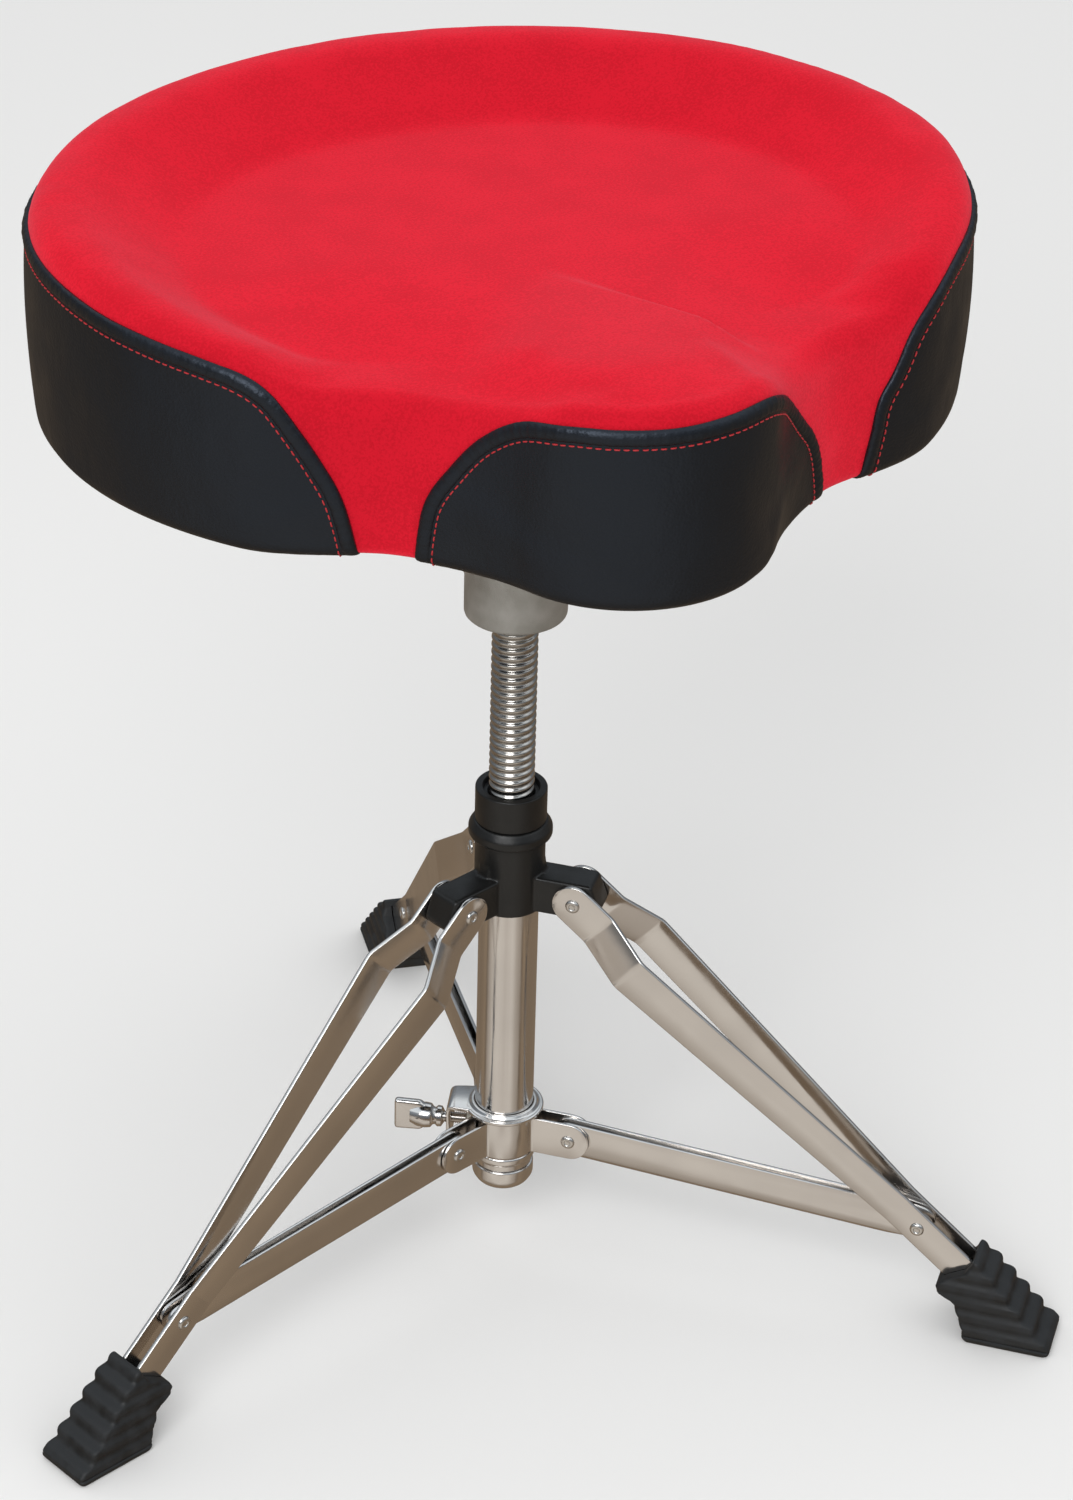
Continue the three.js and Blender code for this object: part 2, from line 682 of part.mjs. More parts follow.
// The grey casting: a split barrel clamped on the rod, four ribs and a square plate.
function seatMount() {
  const low = MOUNT_TOP - MOUNT_PLATE_T;
  const plate = raised(roundedSquare(SCREW_REACH + 16, 18), low, MOUNT_TOP, 4);
  const barrel = turned([
    [0, MOUNT_BOTTOM],
    [MOUNT_R - 1.5, MOUNT_BOTTOM],
    [MOUNT_R, MOUNT_BOTTOM + 1.5],
    [MOUNT_R, low + 1],
    [0, low + 1],
  ]);
  const rib = polygon([
    [MOUNT_R - 4, low - 42],
    [MOUNT_R + 2, low - 42],
    [SCREW_REACH + 12, low - 4],
    [SCREW_REACH + 12, low + 1],
    [MOUNT_R - 4, low + 1],
  ]);
  const ribs = [0, 90, 180, 270].map((turn) => sideways(rib, -3, 3).rotate([0, 0, turn]));
  const lug = stadium(MOUNT_R - 6, CLAMP_R + 2, CLAMP_Z, 11);
  const lugs = sideways(lug, -11, 11).rotate([0, 0, CLAMP_AZIMUTH - 90]);
  const slot = box(40, 2.6, 60, [MOUNT_R + 4, 0, MOUNT_BOTTOM + 24]);
  const boltHole = crossPin(4 + GAP, -20, 20).translate([CLAMP_R, 0, CLAMP_Z]);
  const screwHoles = [[1, 1], [1, -1], [-1, 1], [-1, -1]].map(([x, y]) =>
    rod(MOUNT_SCREW_R + GAP, low - 2, MOUNT_TOP + 2, 12).translate([
      x * SCREW_REACH,
      y * SCREW_REACH,
      0,
    ]),
  );
  return cut(
    join(plate, barrel, ...ribs, lugs),
    rod(ROD_R + GAP, MOUNT_BOTTOM - 1, ROD_TOP + 3),
    slot.rotate([0, 0, CLAMP_AZIMUTH - 90]),
    boltHole.rotate([0, 0, CLAMP_AZIMUTH - 90]),
    ...screwHoles,
  );
}

// Hexagon head on one side of the clamp lugs, nut on the other.
function clampBolt() {
  const head = solid(new THREE.CylinderGeometry(7.4, 7.4, 5.2, 6).translate(0, -11 - GAP - 2.6, 0));
  return join(head, crossPin(4, -11 - GAP - 1, 21));
}

function clampNut() {
  const nut = solid(new THREE.CylinderGeometry(7.4, 7.4, 6.4, 6).translate(0, 11 + GAP + 3.2, 0));
  return cut(nut, crossPin(4 + GAP, 10, 20));
}

function mountScrew() {
  const under = MOUNT_TOP - MOUNT_PLATE_T - GAP;
  const head = solid(new THREE.CylinderGeometry(5.8, 5.8, 4, 6).rotateX(Math.PI / 2));
  const shank = rod(MOUNT_SCREW_R, under - 2, MOUNT_TOP + BOARD_T - 2, 12);
  return join(head.translate([0, 0, under - 2]), shank);
}

// ---------------------------------------------------------------- seat
// The plan of the seat, drawn in by the given distance: an ellipse with a round nose and a thigh
// cut-out on each side of it.
function seatOutline(inset = 0) {
  const k = 1 - inset / ((SEAT_HALF_WIDTH + SEAT_HALF_DEPTH) / 2);
  const x = (v) => v * k;
  const y = (v) => SEAT_CENTRE_Y + (v - SEAT_CENTRE_Y) * k;
  const share = 0.753; // share of the half width where the ellipse ends and the cut-out starts
  const drop = Math.sqrt(1 - share * share);
  const joinX = SEAT_HALF_WIDTH * share;
  const joinY = SEAT_CENTRE_Y - SEAT_HALF_DEPTH * drop;
  const notch = [104, -122];
  const tipAngle = 30.5 * DEG;
  const tip = [NOSE_R * Math.cos(tipAngle), NOSE_Y - NOSE_R * Math.sin(tipAngle)];
  const shape = new THREE.Shape();
  const start = Math.atan2(-drop, share);
  const radii = [SEAT_HALF_WIDTH * k, SEAT_HALF_DEPTH * k];
  const curve = (...points) => shape.bezierCurveTo(...points.flatMap(([u, v]) => [x(u), y(v)]));
  shape.absellipse(0, y(SEAT_CENTRE_Y), ...radii, start, Math.PI - start, false);
  curve([-joinX + 15, joinY - 14.6], [-120, -114.5], [-notch[0], notch[1]]);
  curve([-90, -128.6], [-tip[0] - 10, tip[1] + 17], [-tip[0], tip[1]]);
  shape.absarc(0, y(NOSE_Y), NOSE_R * k, Math.PI + tipAngle, 2 * Math.PI - tipAngle, false);
  curve([tip[0] + 10, tip[1] + 17], [90, -128.6], notch);
  curve([120, -114.5], [joinX - 15, joinY - 14.6], [joinX, joinY]);
  return shape;
}

// Foam block and its cover as one soft solid, hollowed underneath for the board.
function seatCushion() {
  const edge = 20;
  const inset = PANEL_T + GAP;
  const options = {
    depth: SEAT_TOP - SEAT_BOTTOM - 2 * edge,
    bevelThickness: edge,
    bevelSize: edge * 0.6,
    bevelOffset: -edge * 0.6,
    bevelSegments: 3,
    curveSegments: SEAT_CURVE,
  };
  const geometry = new THREE.ExtrudeGeometry(seatOutline(inset), options);
  geometry.translate(0, 0, SEAT_BOTTOM + edge);
  const side = raised(seatOutline(inset), SEAT_BOTTOM, SEAT_BOTTOM + edge + 5, SEAT_CURVE);
  const recess = raised(
    seatOutline(BOARD_INSET - GAP),
    SEAT_BOTTOM - 5,
    MOUNT_TOP + GAP + BOARD_T + GAP,
    SEAT_CURVE,
  );
  return cut(join(solid(geometry), side), recess);
}

function seatBoard() {
  const low = MOUNT_TOP + GAP;
  const board = raised(seatOutline(BOARD_INSET), low, low + BOARD_T, SEAT_CURVE);
  const holes = [[1, 1], [1, -1], [-1, 1], [-1, -1]].map(([x, y]) =>
    rod(MOUNT_SCREW_R + GAP, low - 2, low + BOARD_T + 2, 12).translate([
      x * SCREW_REACH,
      y * SCREW_REACH,
      0,
    ]),
  );
  return cut(board, ...holes);
}

// Thin cloth over the board's underside, open around the mount's plate.
function dustCover() {
  const plan = seatOutline(BOARD_INSET + 2);
  const sheet = raised(plan, SEAT_BOTTOM, SEAT_BOTTOM + CLOTH_T, SEAT_CURVE);
  const window = raised(roundedSquare(SCREW_REACH + 18, 20), SEAT_BOTTOM - 2, SEAT_BOTTOM + 3, 4);
  return cut(sheet, window);
}

function panelShell() {
  const shape = seatOutline();
  shape.holes.push(new THREE.Path(seatOutline(PANEL_T).getPoints(SEAT_CURVE)));
  return raised(shape, SEAT_BOTTOM + 0.5, SEAT_TOP - 10, SEAT_CURVE);
}

// Vinyl panel around the back and the sides. Its two front edges rise from the bottom to the rim.
function rearPanel() {
  const side = SEAT_HALF_WIDTH + 5;
  const edge = new THREE.Shape();
  edge.moveTo(-side, -1);
  edge.lineTo(-108, -1);
  edge.bezierCurveTo(-124, 28, -132, 66, -160, 78);
  edge.bezierCurveTo(-190, 86, -205, 88, -side, 92);
  edge.closePath();
  const window = sideways(edge, -SEAT_HALF_WIDTH, SEAT_CENTRE_Y, 8);
  const leftWindow = window.translate([0, 0, SEAT_BOTTOM]);
  const rightWindow = leftWindow.mirror([1, 0, 0]);
  const depth = SEAT_HALF_DEPTH + 20;
  const height = SEAT_TOP - SEAT_BOTTOM;
  const middleY = SEAT_CENTRE_Y + depth / 2 - 0.5;
  const back = box(2 * side, depth, height, [0, middleY, SEAT_TOP - 9 - height / 2]);
  return panelShell().intersect(join(leftWindow, rightWindow, back));
}

// Vinyl panel around the nose, with an arched top edge.
function nosePanel() {
  const edge = new THREE.Shape();
  edge.moveTo(-92, -1);
  edge.bezierCurveTo(-88, 40, -76, 66, -52, 80);
  edge.bezierCurveTo(-30, 85, 30, 85, 52, 80);
  edge.bezierCurveTo(76, 66, 88, 40, 92, -1);
  edge.closePath();
  const window = sideways(edge, -SEAT_HALF_WIDTH, -60, 8);
  return panelShell().intersect(window.translate([0, 0, SEAT_BOTTOM]));
}

// ---------------------------------------------------------------- assembly
const column = new THREE.Group();
column.add(
  piece('base_tube', baseTube(), chrome),
  piece('tube_end_cap', tubeEndCap(), chrome),
  piece('leg_hub', legHub(), blackCasting),
  piece('height_nut', heightNut(), blackCasting),
);
Object.keys(LEG_AZIMUTH).forEach((name) => column.add(leg(name), brace(name)));
column.add(collar());

const seat = new THREE.Group();
seat.add(
  piece('threaded_rod', threadedRod(), chrome),
  piece('rod_guide', rodGuide(), nylon),
  piece('guide_screw', guideScrew(), plated),
  piece('seat_mount', seatMount(), greyCasting),
  piece('seat_board', seatBoard(), plywood),
  piece('dust_cover', dustCover(), cloth),
  piece('seat_cushion', seatCushion(), velour),
  piece('rear_panel', rearPanel(), vinyl),
  piece('nose_panel', nosePanel(), vinyl),
);
const clamp = bearing(CLAMP_AZIMUTH);
clamp.position.z = CLAMP_Z;
[piece('clamp_bolt', clampBolt(), plated), piece('clamp_nut', clampNut(), plated)].forEach((part) => {
  part.position.x = CLAMP_R;
  clamp.add(part);
});
seat.add(clamp);
[[-1, -1], [1, -1], [1, 1], [-1, 1]].forEach(([x, y], i) => {
  const screw = piece(`mount_screw_${i + 1}`, mountScrew(), plated);
  screw.position.set(x * SCREW_REACH, y * SCREW_REACH, 0);
  seat.add(screw);
});

// The row's origin is the middle of the whole object's footprint, at floor level.
const group = new THREE.Group();
group.name = 'drum_throne';
group.add(column, seat);
group.updateMatrixWorld(true);
const middle = new THREE.Box3().setFromObject(group).getCenter(new THREE.Vector3());
group.position.set(-middle.x, -middle.y, 0);
group.updateMatrixWorld(true);

export default group;
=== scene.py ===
"""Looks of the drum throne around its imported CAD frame. Metres, +Z up, the seat's nose points to -Y.

Shapes are drawn in millimetres from the column's axis and the floor, and piece() turns them into metres.
"""

import json
import math
import random

import bmesh
import bpy
import numpy as np
from mathutils import Matrix, Vector
from mathutils.kdtree import KDTree


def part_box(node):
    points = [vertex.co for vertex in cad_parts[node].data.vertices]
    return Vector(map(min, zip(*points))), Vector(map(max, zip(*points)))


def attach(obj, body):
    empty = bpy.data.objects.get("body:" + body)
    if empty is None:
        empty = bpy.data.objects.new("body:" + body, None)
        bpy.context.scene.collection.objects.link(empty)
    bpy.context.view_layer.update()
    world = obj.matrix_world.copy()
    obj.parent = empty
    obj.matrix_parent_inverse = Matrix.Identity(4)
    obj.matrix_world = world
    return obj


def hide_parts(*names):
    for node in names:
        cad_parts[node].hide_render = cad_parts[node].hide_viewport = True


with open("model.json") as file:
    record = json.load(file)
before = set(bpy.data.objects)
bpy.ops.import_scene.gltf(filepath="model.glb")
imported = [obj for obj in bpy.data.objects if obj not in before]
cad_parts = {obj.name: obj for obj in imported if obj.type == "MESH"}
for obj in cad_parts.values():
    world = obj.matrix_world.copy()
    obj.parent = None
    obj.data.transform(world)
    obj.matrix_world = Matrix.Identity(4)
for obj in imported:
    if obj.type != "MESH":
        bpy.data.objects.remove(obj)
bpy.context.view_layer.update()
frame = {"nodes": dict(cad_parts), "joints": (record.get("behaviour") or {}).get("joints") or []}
MM = 0.001

# ---------------------------------------------------------------- places taken from the frame


def column_axis():
    low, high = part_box("base_tube")
    return Vector(((low.x + high.x) / 2, (low.y + high.y) / 2, 0))


AXIS = column_axis()
UP = Vector((0, 0, 1))


def span(node):
    """A CAD node's lowest and highest corners, in millimetres from the column's axis and the floor."""
    return [(corner - AXIS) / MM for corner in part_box(node)]


def heights(node):
    return [corner.z for corner in span(node)]


def middle(node):
    low, high = span(node)
    return (low + high) / 2


def joint(name):
    return next(j for j in frame["joints"] if j["name"] == name)


def bearing(name):
    """The frame of one leg: X outward from the column, Y sideways, Z up."""
    side = Vector(joint(f"{name}_leg_fold")["axis"])
    out = Vector((side.y, -side.x, 0))
    return Matrix((out, side, UP)).transposed()


def radius_and_height(place):
    return Vector((math.hypot(place.x, place.y), place.z))


LEGS = ("left", "right", "rear")
HUB_PIVOT = radius_and_height(middle("left_hub_rivet"))
COLLAR_PIVOT = radius_and_height(middle("left_collar_rivet"))
BRACE_PIVOT = radius_and_height((middle("left_brace_rivet_a") + middle("left_brace_rivet_b")) / 2)
LEG_RUN = BRACE_PIVOT - HUB_PIVOT
BRACE_RUN = BRACE_PIVOT - COLLAR_PIVOT
BEAD_R = span("base_tube")[1].x
TUBE_R = BEAD_R - 1.5
NUT_R = span("height_nut")[1].x
ROD_R = span("threaded_rod")[1].x
TUBE_BOTTOM, TUBE_TOP = heights("base_tube")
HUB_BOTTOM, HUB_TOP = heights("leg_hub")
ROD_BOTTOM, ROD_TOP = heights("threaded_rod")
MOUNT_BOTTOM, MOUNT_TOP = heights("seat_mount")
SEAT_BOTTOM, SEAT_TOP = heights("seat_cushion")
GAP = 0.3  # clearance between round pieces that fit in each other

# ---------------------------------------------------------------- mesh helpers


def placed(name, data):
    """A new object in the scene that shows the data."""
    thing = bpy.data.objects.new(name, data)
    bpy.context.scene.collection.objects.link(thing)
    return thing


def new_object(name, points, faces):
    mesh = bpy.data.meshes.new(name)
    mesh.from_pydata([tuple(p) for p in points], [], faces)
    mesh.validate()
    mesh.update()
    return placed(name, mesh)


def outward(thing):
    """Makes a closed mesh's faces agree and point out."""
    mesh = bmesh.new()
    mesh.from_mesh(thing.data)
    bmesh.ops.recalc_face_normals(mesh, faces=mesh.faces)
    mesh.to_mesh(thing.data)
    mesh.free()
    return thing


def applied(thing):
    """thing with its modifiers made part of its mesh."""
    shown = thing.evaluated_get(bpy.context.evaluated_depsgraph_get())
    mesh = bpy.data.meshes.new_from_object(shown)
    old = thing.data
    thing.modifiers.clear()
    thing.data = mesh
    bpy.data.meshes.remove(old)
    return thing


def boolean(thing, tool, operation):
    cutter = thing.modifiers.new("boolean", "BOOLEAN")
    cutter.object = tool
    cutter.operation = operation
    cutter.solver = "EXACT"
    bpy.context.view_layer.update()
    applied(thing)
    bpy.data.objects.remove(tool)
    return thing


def remeshed(thing, voxel):
    remesh = thing.modifiers.new("remesh", "REMESH")
    remesh.mode = "VOXEL"
    remesh.voxel_size = voxel


def cast(thing, voxel, passes):
    """Remeshed finely and smoothed, for the soft corners of a casting."""
    remeshed(thing, voxel)
    thing.modifiers.new("smooth", "SMOOTH").iterations = passes
    return applied(thing)


def bevelled(thing, width, angle):
    """Rounds the edges sharper than an angle in degrees."""
    edge = thing.modifiers.new("bevel", "BEVEL")
    edge.width = width
    edge.segments = 2
    edge.limit_method = "ANGLE"
    edge.angle_limit = math.radians(angle)


def moved(thing, matrix):
    thing.data.transform(matrix.to_4x4())
    return thing


def piece(thing, material, body, slot, *stands_for, smooth_angle=40):
    """Puts a shape drawn in millimetres in its place and makes it part of the object."""
    thing.data.transform(Matrix.Translation(AXIS) @ Matrix.Scale(MM, 4))
    thing.data.shade_smooth()
    thing.data.set_sharp_from_angle(angle=math.radians(smooth_angle))
    thing.data.materials.clear()
    thing.data.materials.append(material)
    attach(thing, body)
    if stands_for:
        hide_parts(*stands_for)


def carried(node, material, bevel=0.0):
    """A CAD node that keeps its shape: smooth-edged, in a procedural finish."""
    thing = frame["nodes"][node]
    thing.data.materials.clear()
    thing.data.materials.append(material)
    if bevel:
        thing.modifiers.new("weld", "WELD").merge_threshold = 1e-5
        bevelled(thing, bevel * MM, 35)


# ---------------------------------------------------------------- outlines and simple solids


def filleted(corners, radius, steps=5, closed=True):
    """A polygon or line with its corners rounded. radius is one number, or one for each corner."""
    corners = [Vector(c) for c in corners]
    radii = radius if isinstance(radius, list) else [radius] * len(corners)
    out = []
    for i, at in enumerate(corners):
        ends = not closed and i in (0, len(corners) - 1)
        before = corners[i - 1] - at
        after = corners[(i + 1) % len(corners)] - at
        turn = math.pi - before.angle(after) if not ends else 0
        if ends or radii[i] <= 0 or turn < 1e-4:
            out.append(at)
            continue
        back = min(radii[i] * math.tan(turn / 2), before.length * 0.49, after.length * 0.49)
        start = at + before.normalized() * back
        end = at + after.normalized() * back
        for k in range(steps + 1):
            t = k / steps
            out.append(start * (1 - t) ** 2 + at * 2 * t * (1 - t) + end * t * t)
    return out


def arc(centre, radius, start, end, steps):
    """Points on a circle between two angles in degrees, both ends included."""
    out = []
    for k in range(steps + 1):
        a = math.radians(start + (end - start) * k / steps)
        out.append(Vector((centre[0] + radius * math.cos(a), centre[1] + radius * math.sin(a))))
    return out


def ring(radius, z, count):
    """Points round the Z axis at one height."""
    turns = [math.tau * k / count for k in range(count)]
    return [(radius * math.cos(a), radius * math.sin(a), z) for a in turns]


def inward(outline):
    """Unit directions that point into a closed outline drawn anticlockwise, one for each point."""
    out = []
    for i in range(len(outline)):
        run = (outline[(i + 1) % len(outline)] - outline[i - 1]).normalized()
        out.append(Vector((-run.y, run.x)))
    return out


def turned(name, profile, segments=96):
    """Turned about Z from (radius, height) points. A profile that starts on the axis ends on it too."""
    points, rings = [], []
    for r, z in profile:
        on_axis = r < 1e-6
        rings.append([len(points)] if on_axis else range(len(points), len(points) + segments))
        points += [(0, 0, z)] if on_axis else ring(r, z, segments)
    faces = []
    pairs = list(zip(rings, rings[1:]))
    if len(rings[0]) > 1:
        pairs.append((rings[-1], rings[0]))
    for low, high in pairs:
        for k in range(segments):
            n = (k + 1) % segments
            if len(low) == 1:
                faces.append((low[0], high[n], high[k]))
            elif len(high) == 1:
                faces.append((low[k], low[n], high[0]))
            else:
                faces.append((low[k], low[n], high[n], high[k]))
    return outward(new_object(name, points, faces))


def ring_quads(rings, count, first=0):
    """Quads between rings of count points each, stored one after another."""
    quads = []
    for low in range(first, first + (rings - 1) * count, count):
        for k in range(count):
            n = (k + 1) % count
            quads.append((low + k, low + n, low + count + n, low + count + k))
    return quads


def capped(rings, count, first=0):
    """Faces of a solid through rings of points, with flat ends."""
    last = first + (rings - 1) * count
    ends = [tuple(reversed(range(first, first + count))), tuple(range(last, last + count))]
    return ends + ring_quads(rings, count, first)


def stacked(name, rings):
    """A closed solid through equal-length rings of points, with flat ends."""
    points = [p for one in rings for p in one]
    return outward(new_object(name, points, capped(len(rings), len(rings[0]))))


def prism(name, outline, low, high, edge=0.4, steps=3):
    """An outline (anticlockwise, in XY) raised from low to high, with rounded rims."""
    outline = [Vector(p) for p in outline]
    into = inward(outline)
    rings = []
    for z, side in ((low, 1), (high, -1)):
        layer = []
        for k in range(steps + 1):
            a = math.pi / 2 * k / steps
            inset = edge * (1 - math.sin(a))
            rise = z + side * edge * (1 - math.cos(a))
            layer.append([(p.x + n.x * inset, p.y + n.y * inset, rise) for p, n in zip(outline, into)])
        rings += layer if side > 0 else layer[::-1]
    return stacked(name, rings)


SIDE_VIEW = Matrix(((1, 0, 0), (0, 0, -1), (0, 1, 0)))  # turns XY and height into XZ and -Y


def side_prism(name, outline, low, high, edge=0.4):
    """An outline in side view (x outward, y up), thick from low to high sideways."""
    return moved(prism(name, outline, -high, -low, edge), SIDE_VIEW)


def rounded_section(half_thickness, half_width, edge, steps=3):
    corners = ((1, -1, -90), (1, 1, 0), (-1, 1, 90), (-1, -1, 180))
    out = []
    for x, y, start in corners:
        centre = (x * (half_thickness - edge), y * (half_width - edge))
        out += arc(centre, edge, start, start + 90, steps)
    return out


def swept_strip(name, line, thickness, half_width, edge):
    """A flat strip along a line in XY, upright in Z. half_width(point) gives half its height there."""
    rings = []
    for i, at in enumerate(line):
        run = (line[min(i + 1, len(line) - 1)] - line[max(i - 1, 0)]).normalized()
        across = Vector((-run.y, run.x))
        section = rounded_section(thickness / 2, half_width(at), edge)
        rings.append([(at.x + across.x * p.x, at.y + across.y * p.x, p.y) for p in section])
    return stacked(name, rings)


# ---------------------------------------------------------------- finishes


def feed(node, inputs):
    """Sets a node's inputs to values, or links them from sockets."""
    for key, value in inputs.items():
        if isinstance(value, bpy.types.NodeSocket):
            node.id_data.links.new(value, node.inputs[key])
        else:
            node.inputs[key].default_value = value


def add(tree, kind, inputs=None, **settings):
    node = tree.nodes.new(kind)
    for key, value in settings.items():
        setattr(node, key, value)
    feed(node, inputs or {})
    return node


def sums(tree, operation, *values):
    """The result of a math operation on numbers or sockets."""
    return add(tree, "ShaderNodeMath", dict(enumerate(values)), operation=operation).outputs[0]


def plain(name, colour, roughness, metallic=0.0, **extra):
    """A material with its shader set. Returns (material, tree, shader, position socket)."""
    material = bpy.data.materials.new(name)
    material.use_nodes = True
    tree = material.node_tree
    shader = tree.nodes["Principled BSDF"]
    feed(shader, {"Base Color": (*colour, 1), "Roughness": roughness, "Metallic": metallic})
    feed(shader, {key.replace("_", " "): value for key, value in extra.items()})
    place = add(tree, "ShaderNodeTexCoord").outputs["Object"]
    return material, tree, shader, place


def noise(tree, place, scale, detail=3.0, stretch=None):
    """A noise value from 0 to 1. scale is in features per metre."""
    if stretch:
        place = add(tree, "ShaderNodeMapping", {"Vector": place, "Scale": stretch}).outputs["Vector"]
    texture = add(tree, "ShaderNodeTexNoise", {"Vector": place, "Scale": scale, "Detail": detail})
    return texture.outputs["Fac"]


def ranged(tree, value, low, high, start=0.35, end=0.65):
    """A value between start and end taken to the range low to high."""
    return add(tree, "ShaderNodeMapRange", {0: value, 1: start, 2: end, 3: low, 4: high}).outputs[0]


def tinted(tree, value, low, high):
    """A colour between two, mixed by a value."""
    mixed = {0: ranged(tree, value, 0, 1), 6: (*low, 1), 7: (*high, 1)}
    return add(tree, "ShaderNodeMix", mixed, data_type="RGBA").outputs[2]


def bumped(tree, shader, heights_to_stack):
    """Bumps stacked on the shader's normal from (height socket, strength, depth in metres)."""
    last = None
    for height, strength, depth in heights_to_stack:
        bump = add(tree, "ShaderNodeBump", {"Strength": strength, "Distance": depth, "Height": height})
        if last:
            feed(bump, {"Normal": last})
        last = bump.outputs["Normal"]
    feed(shader, {"Normal": last})


def metal(name, colour, roughness, smudge, ripple):
    """Bright metal: handling smudges in its roughness, and a slow ripple in its reflections."""
    material, tree, shader, place = plain(name, colour, roughness, 1.0)
    smudges = ranged(tree, noise(tree, place, 45, 6), roughness, roughness + smudge)
    tint = tinted(tree, noise(tree, place, 18, 2), [c * 0.93 for c in colour], colour)
    feed(shader, {"Roughness": smudges, "Base Color": tint})
    fine = noise(tree, place, 1600, 2)
    bumped(tree, shader, [(noise(tree, place, 55, 2), ripple, 0.0006), (fine, 0.04, 0.0001)])
    return material


def black_paint():
    """Satin black paint on a casting: a slight orange peel, and rubbed patches."""
    material, tree, shader, place = plain("black_casting", (0.0065, 0.0065, 0.0062), 0.36)
    feed(shader, {"Roughness": ranged(tree, noise(tree, place, 70, 5), 0.28, 0.46)})
    peel = noise(tree, place, 900, 2)
    bumped(tree, shader, [(peel, 0.25, 0.0002), (noise(tree, place, 120, 2), 0.2, 0.0004)])
    return material


def grey_cast():
    """Bare grey casting with a fine crossed texture round its barrel."""
    material, tree, shader, place = plain("grey_casting", (0.36, 0.35, 0.325), 0.5, 0.75)
    stains = noise(tree, place, 60, 6)
    feed(shader, {"Base Color": tinted(tree, stains, (0.39, 0.385, 0.36), (0.53, 0.53, 0.51))})
    centred = add(tree, "ShaderNodeVectorMath", {0: place, 1: AXIS}, operation="SUBTRACT").outputs[0]
    x, y, z = add(tree, "ShaderNodeSeparateXYZ", {0: centred}).outputs
    about = sums(tree, "MULTIPLY", sums(tree, "ARCTAN2", y, x), 150.0)
    rise = sums(tree, "MULTIPLY", z, 6200.0)
    waves = [sums(tree, "SINE", sums(tree, slant, about, rise)) for slant in ("ADD", "SUBTRACT")]
    grit = noise(tree, place, 1100, 4)
    bumped(tree, shader, [(sums(tree, "ADD", *waves), 0.18, 0.00012), (grit, 0.35, 0.0003)])
    return material


def rubber():
    """Matt black rubber with a dusty bloom."""
    material, tree, shader, place = plain("foot_rubber", (0.010, 0.0108, 0.0115), 0.6)
    bloom = noise(tree, place, 130, 6)
    tint = tinted(tree, bloom, (0.008, 0.0085, 0.0088), (0.016, 0.0172, 0.0185))
    feed(shader, {"Base Color": tint, "Roughness": ranged(tree, bloom, 0.5, 0.72)})
    bumped(tree, shader, [(noise(tree, place, 700, 4), 0.3, 0.0003)])
    return material


def velour():
    """Short-pile red velour: speckled nap, a painted sheen in its base colour (darker where seen face on,
    lighter at grazing angles), and the shader's own sheen at grazing angles.
    """
    sheen = {"Sheen_Weight": 0.27, "Sheen_Roughness": 0.45, "Sheen_Tint": (1.0, 0.24, 0.33, 1)}
    colour = (0.62, 0.004, 0.014)
    material, tree, shader, place = plain("red_velour", colour, 0.85, Specular_IOR_Level=0.12, **sheen)
    speck_share = 2.2
    speckled = sums(tree, "MULTIPLY_ADD", noise(tree, place, 800, 3), speck_share, noise(tree, place, 38, 6))
    centred = sums(tree, "SUBTRACT", speckled, speck_share / 2)
    tint = tinted(tree, centred, (0.60, 0.0042, 0.0175), (0.69, 0.0058, 0.022))
    # Painted sheen: the base colour is scaled down where the surface faces the view and up at grazing angles,
    # standing in for the pile's sheen.
    turned_away = add(tree, "ShaderNodeLayerWeight", {"Blend": 0.5}).outputs["Facing"]
    depth = ranged(tree, turned_away, 0.80, 1.06, 0.10, 0.54)
    painted_sheen_colour = add(tree, "ShaderNodeVectorMath", {0: tint, "Scale": depth}, operation="SCALE")
    feed(shader, {"Base Color": painted_sheen_colour.outputs[0]})
    pile = noise(tree, place, 1500, 2)
    bumped(tree, shader, [(pile, 0.5, 0.0004), (noise(tree, place, 90, 3), 0.04, 0.0012)])
    return material


def vinyl():
    """Black vinyl: fine leather grain, broad soft wrinkles and a worn sheen."""
    colour = (0.0055, 0.0062, 0.0078)
    material, tree, shader, place = plain("black_vinyl", colour, 0.4, Specular_Tint=(0.68, 0.80, 1.0, 1))
    cells = add(tree, "ShaderNodeTexVoronoi", {"Vector": place, "Scale": 800.0}, feature="SMOOTH_F1")
    feed(shader, {"Roughness": ranged(tree, noise(tree, place, 30, 4), 0.36, 0.5)})
    wrinkle = noise(tree, place, 38, 3, stretch=(1, 1, 0.6))
    bumped(tree, shader, [(cells.outputs["Distance"], 0.35, 0.0004), (wrinkle, 0.3, 0.004)])
    return material


def thread():
    material, tree, shader, place = plain("red_thread", (0.42, 0.014, 0.02), 0.6)
    bumped(tree, shader, [(noise(tree, place, 3000, 1), 0.4, 0.0002)])
    return material


def dust_cloth():
    """Thin black non-woven cloth."""
    material, tree, shader, place = plain("dust_cloth", (0.010, 0.010, 0.010), 0.95)
    fibres = noise(tree, place, 500, 5, stretch=(1, 3, 1))
    feed(shader, {"Base Color": tinted(tree, fibres, (0.006,) * 3, (0.018,) * 3)})
    bumped(tree, shader, [(fibres, 0.5, 0.0004)])
    return material


def plywood():
    material, tree, shader, place = plain("plywood", (0.42, 0.27, 0.13), 0.7)
    rings = noise(tree, place, 30, 6, stretch=(1, 9, 9))
    feed(shader, {"Base Color": tinted(tree, rings, (0.33, 0.19, 0.09), (0.5, 0.34, 0.18))})
    bumped(tree, shader, [(rings, 0.2, 0.0005)])
    return material


def nylon():
    material, tree, shader, place = plain("nylon", (0.72, 0.70, 0.62), 0.45)
    bumped(tree, shader, [(noise(tree, place, 400, 3), 0.1, 0.0002)])
    return material


